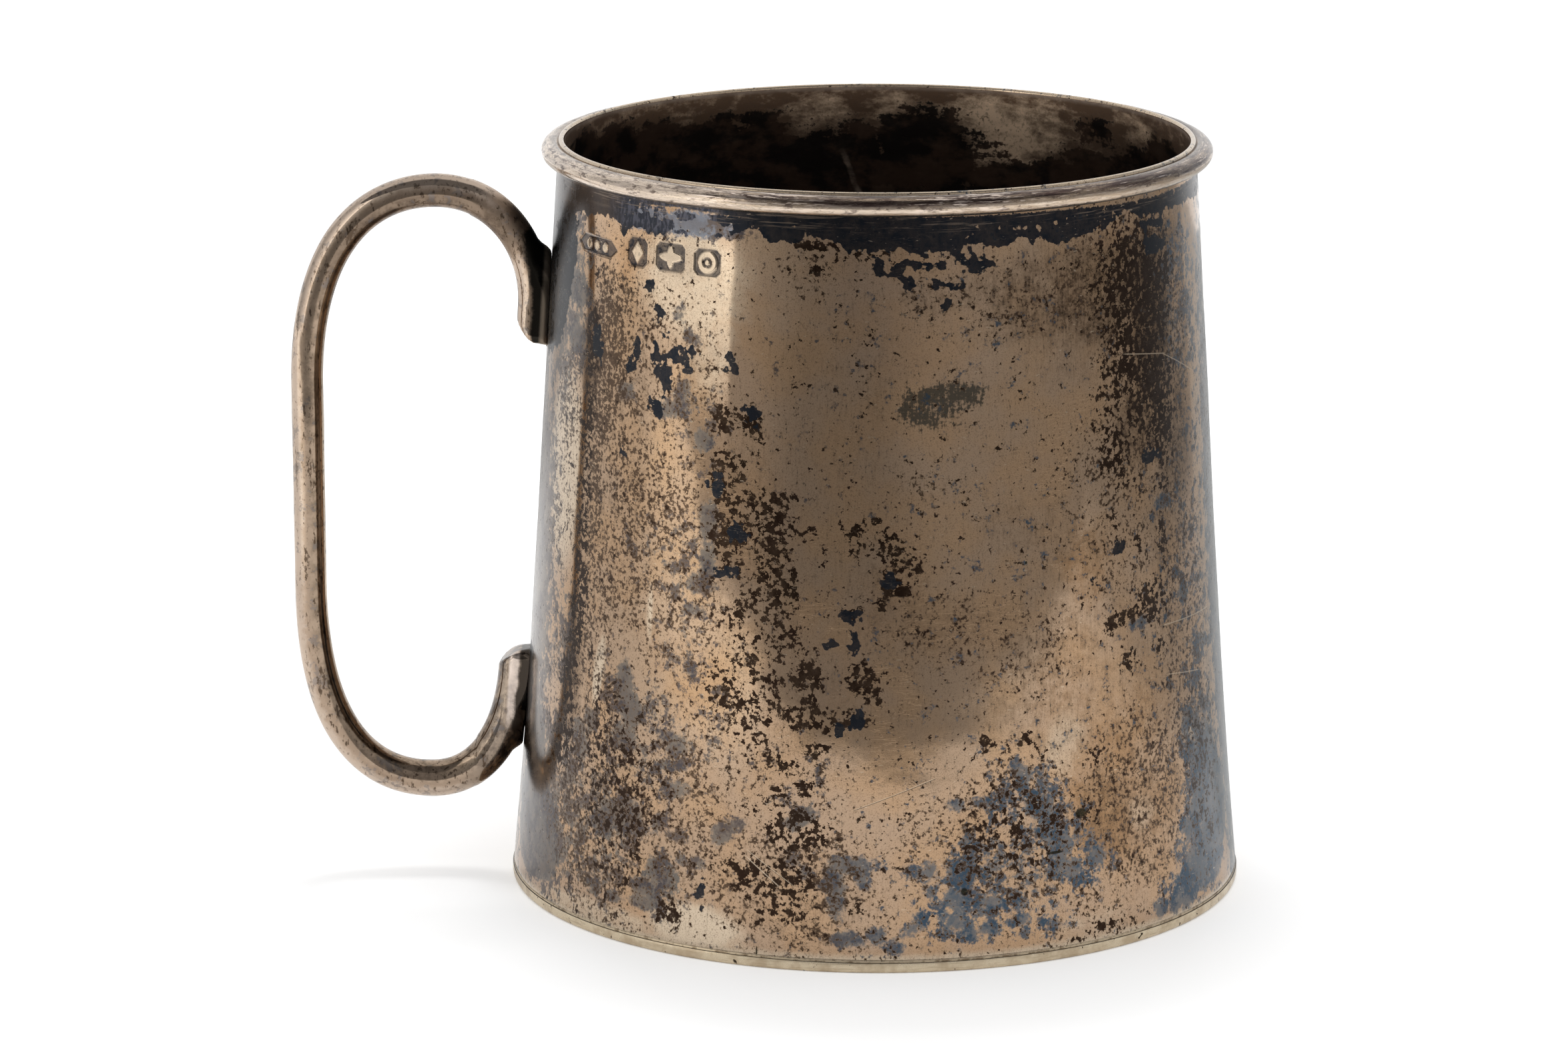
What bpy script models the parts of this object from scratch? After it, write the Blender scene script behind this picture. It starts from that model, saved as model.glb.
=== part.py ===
"""A christening mug: tapered wall, flat base, half-round rim and a looped wire handle.

The origin is the middle of the base where the mug stands, on the mug's axis, with +Z up.
The handle is on the -X side. All sizes are in metres.
"""

import math

import bmesh
import bpy
from mathutils import Vector

# The wall is sheet, rolled to a cone that spreads a little more near the foot.
MUG_HEIGHT = 0.0737
MOUTH_RADIUS = 0.0309
FOOT_RADIUS = 0.0360
WALL_THICKNESS = 0.0006
FOOT_FLARE = 0.0005
FLARE_HEIGHT = 0.032

# The base is a flat plate under the wall, with its lower edge eased.
BASE_THICKNESS = 0.0009
BASE_EASING = 0.00035

# The rim is half-round wire round the outside of the lip.
RIM_BELOW_LIP = 0.0002
RIM_HEIGHT = 0.0020
RIM_PROJECTION = 0.0013

# Each soldered joint is left this wide.
SOLDER_GAP = 0.0003

# The handle is round wire, a little stouter in its arch and stoutest in its lower loop.
RUN_WIRE_RADIUS = 0.00163
ARCH_WIRE_RADIUS = 0.00171
LOOP_WIRE_RADIUS = 0.00189

# Where the wire's middle goes: heights from the lip or the floor, and reaches from the wall.
ARCH_BELOW_LIP = 0.0054
ARCH_OUT = 0.0117
RUN_OUT = 0.0197
RUN_TOP_BELOW_ARCH = 0.0192
LOOP_HEIGHT = 0.0090
LOOP_OUT = 0.0087
RUN_FOOT_ABOVE_LOOP = 0.0199

# The upper end lies along the wall, and the lower end comes up to it at a slant.
UPPER_TIP_BELOW_LIP = 0.0206
UPPER_SEAT_LENGTH = 0.0039
UPPER_SEAT_SINK = 0.0002
LOWER_TIP_HEIGHT = 0.0226
LOWER_SEAT_LENGTH = 0.0024
LOWER_SEAT_SINK = 0.0008
LOWER_SEAT_SLANT = 0.09

# Each end's outer corner is filed round, this far up the wire and this far across it.
UPPER_FILED_ALONG = 0.0025
UPPER_FILED_ACROSS = 0.0024
LOWER_FILED_ALONG = 0.0021
LOWER_FILED_ACROSS = 0.0026
FILE_STROKES = 3

# How full each bend of the handle is: a true ellipse would be 0.55 at both its ends.
SHOULDER_FULLNESS = (0.52, 0.67)
BROW_FULLNESS = (0.54, 0.71)
HEEL_FULLNESS = (0.79, 0.50)
CUP_FULLNESS = (0.56, 0.57)

ROUND_STEPS = 96
CORNER_STEPS = 4
FLARE_STEPS = 7
RIM_STEPS = 12
WIRE_SIDE_STEPS = 5
WIRE_LENGTH_STEPS = 9

# Linear colours of the metal: tarnished silver, paler and warmer where hands polish it.
WALL_COLOUR = (0.40, 0.31, 0.24, 1.0)
BASE_COLOUR = (0.52, 0.43, 0.33, 1.0)
RIM_COLOUR = (0.50, 0.42, 0.36, 1.0)
HANDLE_COLOUR = (0.45, 0.37, 0.31, 1.0)


def clear_scene():
    """Remove what the scene holds, so that the model starts empty."""
    for item in list(bpy.data.objects):
        bpy.data.objects.remove(item, do_unlink=True)


def new_collection(name):
    """Make a collection under the scene's own."""
    collection = bpy.data.collections.new(name)
    bpy.context.scene.collection.children.link(collection)
    return collection


def metal(name, colour, roughness):
    """Make a plain metal material."""
    material = bpy.data.materials.new(name)
    material.use_nodes = True
    shader = material.node_tree.nodes["Principled BSDF"]
    shader.inputs["Base Color"].default_value = colour
    shader.inputs["Metallic"].default_value = 1.0
    shader.inputs["Roughness"].default_value = roughness
    material.diffuse_color = colour
    return material


def add_object(name, data, collection, parent, material=None):
    """Put a mesh or curve into the model as a named object."""
    item = bpy.data.objects.new(name, data)
    collection.objects.link(item)
    item.parent = parent
    if material:
        data.materials.append(material)
    return item


def wall_radius(height):
    """Outer radius of the wall at a height: a straight cone, plus the flare near the foot."""
    straight_foot = FOOT_RADIUS - FOOT_FLARE
    radius = straight_foot + (MOUTH_RADIUS - straight_foot) * height / MUG_HEIGHT
    into_flare = max(0.0, 1.0 - height / FLARE_HEIGHT)
    return radius + FOOT_FLARE * into_flare ** 2


def arc(centre, half_width, half_height, start, end, steps):
    """Points of an elliptical arc in the profile plane, with its angles in degrees."""
    points = []
    for index in range(steps + 1):
        angle = math.radians(start + (end - start) * index / steps)
        points.append((centre[0] + half_width * math.cos(angle), centre[1] + half_height * math.sin(angle)))
    return points


def wall_line(offset, top, bottom):
    """Points down the wall at an offset from its outer face, closer together in the flare."""
    heights = [top]
    flare_top = min(FLARE_HEIGHT, top)
    for index in range(FLARE_STEPS + 1):
        heights.append(flare_top + (bottom - flare_top) * index / FLARE_STEPS)
    return [(wall_radius(height) + offset, height) for height in heights]


def turned(name, profile, collection, parent, material=None):
    """Turn a closed profile of (radius, height) points, which runs down its outer side."""
    mesh = bpy.data.meshes.new(name)
    count = len(profile)
    edges = [(index, (index + 1) % count) for index in range(count)]
    mesh.from_pydata([(radius, 0.0, height) for radius, height in profile], edges, [])
    item = add_object(name, mesh, collection, parent, material)
    screw = item.modifiers.new("Turn", "SCREW")
    screw.axis = "Z"
    screw.angle = math.tau
    screw.steps = ROUND_STEPS
    screw.render_steps = ROUND_STEPS
    screw.use_merge_vertices = True
    screw.merge_threshold = 0.00001
    screw.use_smooth_shade = True
    return item


def build_wall(collection, parent):
    """The tapered wall: outer face down, inner face up, and a rounded lip."""
    lip = WALL_THICKNESS / 2.0
    foot = BASE_THICKNESS + SOLDER_GAP
    lip_height = MUG_HEIGHT - lip
    lip_centre = (wall_radius(lip_height) - lip, lip_height)
    profile = arc(lip_centre, lip, lip, 180.0, 0.0, 2 * CORNER_STEPS)
    profile += wall_line(0.0, lip_height, foot)[1:]
    profile += list(reversed(wall_line(-WALL_THICKNESS, lip_height, foot)[1:]))
    return turned("body_wall", profile, collection, parent, metal("wall_silver", WALL_COLOUR, 0.22))


def build_base(collection, parent):
    """The base plate: a disc as wide as the wall's foot, eased round its lower edge."""
    mesh = bpy.data.meshes.new("base_disc")
    plate = bmesh.new()
    bmesh.ops.create_cone(
        plate,
        cap_ends=True,
        segments=ROUND_STEPS,
        radius1=FOOT_RADIUS,
        radius2=FOOT_RADIUS,
        depth=BASE_THICKNESS,
    )
    lower_edges = [edge for edge in plate.edges if all(vertex.co.z < 0.0 for vertex in edge.verts)]
    bmesh.ops.bevel(
        plate,
        geom=lower_edges,
        offset=BASE_EASING,
        segments=CORNER_STEPS,
        profile=0.5,
        affect="EDGES",
        material=-1,
    )
    plate.to_mesh(mesh)
    plate.free()
    mesh.shade_smooth()
    mesh.set_sharp_from_angle(angle=math.radians(40.0))
    base = add_object("base_disc", mesh, collection, parent, metal("base_silver", BASE_COLOUR, 0.28))
    base.location = (0.0, 0.0, BASE_THICKNESS / 2.0)
    return base


def build_rim(collection, parent):
    """The half-round wire: its flat back follows the wall, and its round side faces out."""
    half_height = RIM_HEIGHT / 2.0
    middle = MUG_HEIGHT - RIM_BELOW_LIP - half_height
    back_top = wall_radius(middle + half_height) + SOLDER_GAP
    back_foot = wall_radius(middle - half_height) + SOLDER_GAP
    profile = []
    for radius, height in arc((0.0, middle), RIM_PROJECTION, half_height, 90.0, -90.0, RIM_STEPS):
        down = (middle + half_height - height) / RIM_HEIGHT
        profile.append((back_top + (back_foot - back_top) * down + radius, height))
    return turned("rim_wire", profile, collection, parent, metal("rim_silver", RIM_COLOUR, 0.30))


def handle_stations():
    """The handle's key points from its upper tip round to its lower tip.

    Each station is (outward distance, height, wire radius, way the wire runs there).
    """
    arch_height = MUG_HEIGHT - ARCH_BELOW_LIP
    upper_tip = MUG_HEIGHT - UPPER_TIP_BELOW_LIP
    upper_seat = upper_tip + UPPER_SEAT_LENGTH
    lower_seat = LOWER_TIP_HEIGHT - LOWER_SEAT_LENGTH
    upper_out = RUN_WIRE_RADIUS - UPPER_SEAT_SINK
    lower_out = LOOP_WIRE_RADIUS - LOWER_SEAT_SINK
    up_the_wall = Vector((wall_radius(upper_seat) - wall_radius(upper_tip), UPPER_SEAT_LENGTH)).normalized()
    up_the_slant = Vector((-LOWER_SEAT_SLANT, 1.0)).normalized()
    seat_out = wall_radius(lower_seat) + lower_out
    tip_out = seat_out - LOWER_SEAT_SLANT * LOWER_SEAT_LENGTH
    run_out = FOOT_RADIUS + RUN_OUT
    run_top = arch_height - RUN_TOP_BELOW_ARCH
    run_foot = LOOP_HEIGHT + RUN_FOOT_ABOVE_LOOP
    out = Vector((1.0, 0.0))
    down = Vector((0.0, -1.0))
    return [
        (Vector((wall_radius(upper_tip) + upper_out, upper_tip)), RUN_WIRE_RADIUS, up_the_wall),
        (Vector((wall_radius(upper_seat) + upper_out, upper_seat)), RUN_WIRE_RADIUS, up_the_wall),
        (Vector((wall_radius(arch_height) + ARCH_OUT, arch_height)), ARCH_WIRE_RADIUS, out),
        (Vector((run_out, run_top)), RUN_WIRE_RADIUS, down),
        (Vector((run_out, run_foot)), RUN_WIRE_RADIUS, down),
        (Vector((wall_radius(LOOP_HEIGHT) + LOOP_OUT, LOOP_HEIGHT)), LOOP_WIRE_RADIUS, -out),
        (Vector((seat_out, lower_seat)), LOOP_WIRE_RADIUS, up_the_slant),
        (Vector((tip_out, LOWER_TIP_HEIGHT)), LOOP_WIRE_RADIUS, up_the_slant),
    ]


def span_reaches(stations, index, fullness):
    """How far the curve's two control arms reach over one span, along each end's own way."""
    start, _, start_way = stations[index]
    end, _, end_way = stations[index + 1]
    if fullness is None:
        reach = (end - start).length / 3.0
        return reach, reach
    across = end - start
    return abs(across.dot(start_way)) * fullness[0], abs(across.dot(end_way)) * fullness[1]


def build_handle_curve(collection, parent):
    """The handle's wire as one curve through its stations, in the plane of the mug's axis."""
    stations = handle_stations()
    bends = [None, SHOULDER_FULLNESS, BROW_FULLNESS, None, HEEL_FULLNESS, CUP_FULLNESS, None]
    reaches = [span_reaches(stations, index, fullness) for index, fullness in enumerate(bends)]
    curve = bpy.data.curves.new("handle_line", "CURVE")
    curve.dimensions = "3D"
    curve.bevel_depth = RUN_WIRE_RADIUS
    curve.bevel_resolution = WIRE_SIDE_STEPS
    curve.resolution_u = WIRE_LENGTH_STEPS
    curve.use_fill_caps = True
    spline = curve.splines.new("BEZIER")
    spline.bezier_points.add(len(stations) - 1)
    for index, (place, wire_radius, way) in enumerate(stations):
        point = spline.bezier_points[index]
        before = reaches[index - 1][1] if index > 0 else reaches[0][0]
        after = reaches[index][0] if index < len(reaches) else before
        point.handle_left_type = "FREE"
        point.handle_right_type = "FREE"
        point.co = on_handle_side(place)
        point.handle_left = on_handle_side(place - way * before)
        point.handle_right = on_handle_side(place + way * after)
        point.radius = wire_radius / RUN_WIRE_RADIUS
    return add_object("handle_line", curve, collection, parent)


def on_handle_side(place):
    """Turn an (outward distance, height) pair into a point in the handle's plane."""
    return Vector((-place.x, 0.0, place.y))


def file_tip(wire, tip, wire_radius, way, along, across):
    """Round over the outer corner of one end of the wire, as a few flat strokes of a file.

    The strokes are flats that touch a quarter ellipse set into the corner.
    """
    toward_wall = Vector((1.0, 0.0, 0.0))
    outward = (-toward_wall + way * toward_wall.dot(way)).normalized()
    centre = tip + outward * (wire_radius - across) - way * along
    reach = along + across + 2.0 * wire_radius
    for stroke in range(1, FILE_STROKES + 1):
        angle = math.radians(90.0) * stroke / (FILE_STROKES + 1)
        touch = centre + outward * across * math.cos(angle) + way * along * math.sin(angle)
        facing = outward * math.cos(angle) / across + way * math.sin(angle) / along
        near = {vertex for vertex in wire.verts if (vertex.co - tip).length < reach}
        edges = [edge for edge in wire.edges if near.issuperset(edge.verts)]
        faces = [face for face in wire.faces if near.issuperset(face.verts)]
        cut = bmesh.ops.bisect_plane(
            wire,
            geom=list(near) + edges + faces,
            dist=0.000001,
            plane_co=touch,
            plane_no=facing.normalized(),
            clear_outer=True,
        )
        outline = [edge for edge in cut["geom_cut"] if isinstance(edge, bmesh.types.BMEdge)]
        bmesh.ops.contextual_create(wire, geom=outline)


def build_handle(collection, cutters, parent):
    """The handle: bent wire, filed at both ends, with each end's back cut to the wall's curve."""
    line = build_handle_curve(collection, parent)
    bpy.context.view_layer.update()
    evaluated = line.evaluated_get(bpy.context.evaluated_depsgraph_get())
    mesh = bpy.data.meshes.new_from_object(evaluated)
    mesh.name = "handle_wire"
    place = line.matrix_world.copy()
    bpy.data.objects.remove(line, do_unlink=True)

    stations = handle_stations()
    first, first_radius, first_way = stations[0]
    last, last_radius, last_way = stations[-1]
    wire = bmesh.new()
    wire.from_mesh(mesh)
    bmesh.ops.remove_doubles(wire, verts=wire.verts, dist=0.000005)
    upper_way = -on_handle_side(first_way)
    lower_way = on_handle_side(last_way)
    file_tip(wire, on_handle_side(first), first_radius, upper_way, UPPER_FILED_ALONG, UPPER_FILED_ACROSS)
    file_tip(wire, on_handle_side(last), last_radius, lower_way, LOWER_FILED_ALONG, LOWER_FILED_ACROSS)
    bmesh.ops.recalc_face_normals(wire, faces=wire.faces)
    wire.to_mesh(mesh)
    wire.free()
    mesh.shade_smooth()
    mesh.set_sharp_from_angle(angle=math.radians(35.0))

    handle = add_object("handle_wire", mesh, collection, parent, metal("handle_silver", HANDLE_COLOUR, 0.26))
    handle.matrix_world = place
    seat_outside = wall_line(SOLDER_GAP, MUG_HEIGHT, 0.0)
    seat_inside = [(radius - FOOT_RADIUS / 2.0, height) for radius, height in reversed(seat_outside)]
    cutter = turned("wall_seat_cutter", seat_outside + seat_inside, cutters, parent)
    cutter.hide_render = True
    cutter.display_type = "WIRE"
    seat = handle.modifiers.new("Seat", "BOOLEAN")
    seat.operation = "DIFFERENCE"
    seat.solver = "EXACT"
    seat.object = cutter
    return handle


def build_mug():
    """Build every piece under one empty at the middle of the base."""
    clear_scene()
    parts = new_collection("christening_mug")
    cutters = new_collection("cutters")
    origin = bpy.data.objects.new("mug_origin", None)
    parts.objects.link(origin)
    build_wall(parts, origin)
    build_base(parts, origin)
    build_rim(parts, origin)
    build_handle(parts, cutters, origin)
    bpy.context.view_layer.update()


build_mug()
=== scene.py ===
import functools
import math

import bmesh
import bpy
import numpy
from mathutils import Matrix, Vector, noise


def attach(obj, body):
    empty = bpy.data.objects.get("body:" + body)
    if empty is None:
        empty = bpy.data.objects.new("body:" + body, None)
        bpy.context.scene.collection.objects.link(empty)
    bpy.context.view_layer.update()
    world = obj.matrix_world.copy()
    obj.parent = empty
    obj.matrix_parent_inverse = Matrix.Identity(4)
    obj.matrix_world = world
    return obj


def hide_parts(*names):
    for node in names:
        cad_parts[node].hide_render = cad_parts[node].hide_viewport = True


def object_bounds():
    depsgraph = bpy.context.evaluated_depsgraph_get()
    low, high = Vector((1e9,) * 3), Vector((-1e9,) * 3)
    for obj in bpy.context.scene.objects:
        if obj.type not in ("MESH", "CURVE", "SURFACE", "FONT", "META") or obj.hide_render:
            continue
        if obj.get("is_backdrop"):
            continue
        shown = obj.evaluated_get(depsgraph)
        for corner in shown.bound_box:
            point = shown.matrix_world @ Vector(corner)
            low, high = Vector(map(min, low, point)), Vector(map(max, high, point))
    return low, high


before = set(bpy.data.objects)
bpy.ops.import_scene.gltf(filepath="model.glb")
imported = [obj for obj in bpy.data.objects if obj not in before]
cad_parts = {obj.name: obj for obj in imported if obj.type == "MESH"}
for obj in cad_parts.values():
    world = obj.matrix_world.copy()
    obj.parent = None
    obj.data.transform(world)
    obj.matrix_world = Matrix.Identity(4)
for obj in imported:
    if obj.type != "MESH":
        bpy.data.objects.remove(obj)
cad_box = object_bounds()


# The wall: one sheet of silver, rolled to a tapered sleeve, soldered shut and planished.
# Years of air have left brown, slate and blue-black tarnish on it, thinner where hands hold it.
MM = 0.001
MUG_HEIGHT = 0.0737
MOUTH_RADIUS = 0.0309
FOOT_RADIUS = 0.0360
WALL_THICKNESS = 0.0006
FOOT_FLARE = 0.0005
FLARE_HEIGHT = 0.032
WALL_FOOT = 0.00108
FOOT_ROUNDING = 0.00012

ROUND_STEPS = 420
OUTER_STEPS = 148
INNER_STEPS = 30
LIP_STEPS = 8

DENT_DEPTH = 0.000045
DENT_SPACING = 0.011
DENT_SHIFT = 0.4
DENT_FADE = 0.006
DENTED_FROM = 0.0014
PLANISH_DEPTH = 0.000011
PLANISH_SPACING = 0.0042


def wall_radius(height):
    """Outer radius of the wall at a height, as in the solid."""
    straight_foot = FOOT_RADIUS - FOOT_FLARE
    radius = straight_foot + (MOUTH_RADIUS - straight_foot) * height / MUG_HEIGHT
    into_flare = max(0.0, 1.0 - height / FLARE_HEIGHT)
    return radius + FOOT_FLARE * into_flare ** 2


def stand_off(spot):
    """How far a place stands out from the wall's outer face, measured level."""
    return math.hypot(spot.x, spot.y) - wall_radius(spot.z)


def outward_at(spot):
    """The level direction from the mug's axis to a place."""
    return Vector((spot.x, spot.y, 0.0)).normalized()


def turned(profile, steps):
    """Spin a closed outline of (radius, height) points about the mug's axis."""
    shape = bmesh.new()
    points = [shape.verts.new((0.0, -radius, height)) for radius, height in profile]
    lines = [shape.edges.new((points[index - 1], points[index])) for index in range(len(points))]
    bmesh.ops.spin(
        shape, geom=points + lines, axis=(0.0, 0.0, 1.0), angle=math.tau, steps=steps, use_merge=True
    )
    bmesh.ops.remove_doubles(shape, verts=shape.verts, dist=0.000001)
    bmesh.ops.recalc_face_normals(shape, faces=shape.faces)
    return shape


def piece_from(shape, name, *materials):
    """Turn a bmesh into a named piece of the scene, smooth all over."""
    mesh = bpy.data.meshes.new(name)
    shape.to_mesh(mesh)
    shape.free()
    mesh.shade_smooth()
    for material in materials:
        mesh.materials.append(material)
    piece = bpy.data.objects.new(name, mesh)
    bpy.context.scene.collection.objects.link(piece)
    return piece


lip = WALL_THICKNESS / 2.0
lip_height = MUG_HEIGHT - lip
lip_middle = wall_radius(lip_height) - lip
outline = []
for step in range(LIP_STEPS + 1):
    angle = math.pi * (1.0 - step / LIP_STEPS)
    outline.append((lip_middle + lip * math.cos(angle), lip_height + lip * math.sin(angle)))
foot_height = WALL_FOOT + FOOT_ROUNDING
for step in range(1, OUTER_STEPS + 1):
    height = lip_height + (foot_height - lip_height) * step / OUTER_STEPS
    outline.append((wall_radius(height), height))
outline.append((wall_radius(WALL_FOOT) - FOOT_ROUNDING, WALL_FOOT))
for step in range(INNER_STEPS):
    height = WALL_FOOT + (lip_height - WALL_FOOT) * step / INNER_STEPS
    outline.append((wall_radius(height) - WALL_THICKNESS, height))
sheet = turned(outline, ROUND_STEPS)

# Where the punches go the sheet is divided more finely, so that they can be struck into it.
PUNCHED_FROM = -66.0
PUNCHED_TO = -27.5
PUNCHED_LOW = 0.0647
PUNCHED_HIGH = 0.0681
PUNCHED_CUTS = 6
divided = set()
for face in sheet.faces:
    middle = face.calc_center_median()
    if stand_off(middle) > -lip and PUNCHED_LOW < middle.z < PUNCHED_HIGH:
        if PUNCHED_FROM < math.degrees(math.atan2(middle.x, -middle.y)) < PUNCHED_TO:
            divided.update(face.edges)
bmesh.ops.subdivide_edges(
    sheet,
    edges=[edge for edge in sheet.edges if edge in divided],
    cuts=PUNCHED_CUTS,
    use_grid_fill=True,
    use_single_edge=True,
)

for vertex in sheet.verts:
    height = vertex.co.z
    reach = math.hypot(vertex.co.x, vertex.co.y)
    if foot_height < height < lip_height and stand_off(vertex.co) > -lip:
        vertex.co.x *= wall_radius(height) / reach
        vertex.co.y *= wall_radius(height) / reach
    free = min(1.0, (MUG_HEIGHT - height) / DENT_FADE) * min(1.0, max(0.0, height - DENTED_FROM) / DENT_FADE)
    dent = noise.noise(vertex.co / DENT_SPACING) * DENT_DEPTH
    dent += noise.noise(vertex.co / PLANISH_SPACING) * PLANISH_DEPTH
    vertex.co += outward_at(vertex.co) * (dent - DENT_DEPTH * DENT_SHIFT) * free
for face in sheet.faces:
    middle = face.calc_center_median()
    face.material_index = 1 if stand_off(middle) < -lip and middle.z < lip_height else 0


class Link:
    """A socket of a material's nodes, on which arithmetic adds Math nodes."""

    def __init__(self, tree, socket):
        self.tree = tree
        self.socket = socket

    def node(self, kind, settings=None, sockets=None, output=0):
        """Add a node: its settings first, and then the values or links of its sockets."""
        made = self.tree.nodes.new("ShaderNode" + kind)
        for name, value in (settings or {}).items():
            if name == "stops":
                while len(made.color_ramp.elements) < len(value):
                    made.color_ramp.elements.new(0.5)
                for element, (position, colour) in zip(made.color_ramp.elements, value):
                    element.position = position
                    element.color = colour
            else:
                setattr(made, name, value)
        for key, value in (sockets or {}).items():
            if isinstance(value, Link):
                self.tree.links.new(value.socket, made.inputs[key])
            else:
                made.inputs[key].default_value = value
        return Link(self.tree, made.outputs[output])

    def math(self, operation, *values):
        """Math on this socket and the values, or Vector Math if this is a vector."""
        kind = "VectorMath" if self.socket.type == "VECTOR" else "Math"
        return self.node(kind, {"operation": operation}, dict(enumerate((self, *values))))

    def __add__(self, other):
        return self.math("ADD", other)

    def __radd__(self, other):
        return self.math("ADD", other)

    def __sub__(self, other):
        return self.math("SUBTRACT", other)

    def __rsub__(self, other):
        return self.node("Math", {"operation": "SUBTRACT"}, {0: other, 1: self})

    def __mul__(self, other):
        return self.math("MULTIPLY", other)

    def __rmul__(self, other):
        return self.math("MULTIPLY", other)

    def __truediv__(self, other):
        return self.math("DIVIDE", other)

    def __abs__(self):
        return self.math("ABSOLUTE")

    def most(self, other):
        return self.math("MAXIMUM", other)

    def rise(self, low, high):
        """A smooth step from 0 at one value of this socket to 1 at another."""
        return self.node("MapRange", {"interpolation_type": "SMOOTHSTEP"}, {0: self, 1: low, 2: high})

    def hypot(self, other):
        """The long side of a right angle with these two sides."""
        return (self * self + other * other).math("SQRT")

    def blend(self, under, over):
        """The colour under where this mask is 0, and the colour over where it is 1."""
        under, over = [(*tone, 1.0) if isinstance(tone, tuple) else tone for tone in (under, over)]
        return self.node("Mix", {"data_type": "RGBA"}, {0: self, 6: under, 7: over}, 2)

    def grain(self, scale, detail=2.0, roughness=0.5, distortion=0.0):
        """Noise on this vector, about 0 to 1."""
        wanted = {"Scale": scale, "Detail": detail, "Roughness": roughness, "Distortion": distortion}
        return self.node("TexNoise", None, {"Vector": self, **wanted})

    def output(self, name):
        """Another output of the node that this socket belongs to."""
        return Link(self.tree, self.socket.node.outputs[name])

    def parts(self):
        """The x, y and z of this vector."""
        apart = self.node("SeparateXYZ", None, {0: self})
        return [apart.output(axis) for axis in "XYZ"]

    def painted(self, name):
        """What was laid on the piece's mesh under this name."""
        return self.node("Attribute", {"attribute_name": name}, None, "Fac")

    def feed(self, shader, name):
        """Link this socket to one of the shader's own."""
        self.tree.links.new(self.socket, shader.inputs[name])


def start_finish(name, **constants):
    """A new finish, its shader with its constants set, and the place on the piece in millimetres."""
    material = bpy.data.materials.new(name)
    material.use_nodes = True
    tree = material.node_tree
    shader = tree.nodes["Principled BSDF"]
    for socket, value in constants.items():
        shader.inputs[socket].default_value = value
    coordinates = tree.nodes.new("ShaderNodeTexCoord")
    return material, shader, Link(tree, coordinates.outputs["Object"]) * (1.0 / MM, 1.0 / MM, 1.0 / MM)


def laid_over(ground, *films):
    """A colour under films that are laid on in turn, each as its mask and its own colour."""
    for mask, film in films:
        ground = mask.blend(ground, film)
    return ground


def bumped(height, shader, strength=1.0):
    """Send a height in millimetres to the shader's normal."""
    height.node("Bump", None, {"Height": height, "Distance": MM, "Strength": strength}).feed(shader, "Normal")


# Tarnish is laid on first, as dabs: (angle from the front in degrees, height in mm, half its
# width and half its height in mm). Dabs that fade out give their strength next, and a leaning dab ends
# with its lean in degrees. The finish then breaks their edges up. The handle stands at -90 degrees.
# SOOT_EDGE is the lower edge of the dark band under the rim, and the list after it is the upper edge. The
# band runs right up to the rim, so its top strip is also painted shade under the rim.
SOOT_EDGE = [
    (-180, 69.4), (-110, 69), (-75, 68.4), (-66, 68.7), (-52, 68.9), (-50.5, 67.6), (-49, 68.5), (-41, 68.5),
    (-40, 68.9), (-28, 69), (-26, 69.9), (-21.4, 70.1), (-20.4, 68.9), (-15, 68.9), (-13, 69.6), (-9, 69.6),
    (-6, 68.5), (1, 68.4), (3.2, 68.8), (6, 68), (7.5, 68), (8.5, 68.6), (9.8, 68), (11.5, 68.4), (23, 68.4),
    (24, 69), (27, 68.6), (30, 68.2), (33, 68.2), (37, 68.7), (42, 69), (45, 69.7), (49, 70.1), (52, 69.3),
    (60, 69.2), (75, 69), (120, 68.7), (180, 69.4),
]
SOOT_AND_SHADE_TOP = [(-180, 72.5), (-24, 72.5), (-16, 71.5), (30, 71.2), (50, 70.8), (180, 71.2)]
SOOT_WIPED = [
    (-36, 70.9, 5.6, 0.33), (-31.5, 69.6, 3.2, 0.95), (-40, 70.2, 1.6, 0.5), (19.5, 70.15, 1.2, 0.12, -6),
    (27, 70.1, 1.6, 0.1, 3), (41.2, 69.8, 0.7, 0.16, 25),
]
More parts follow.
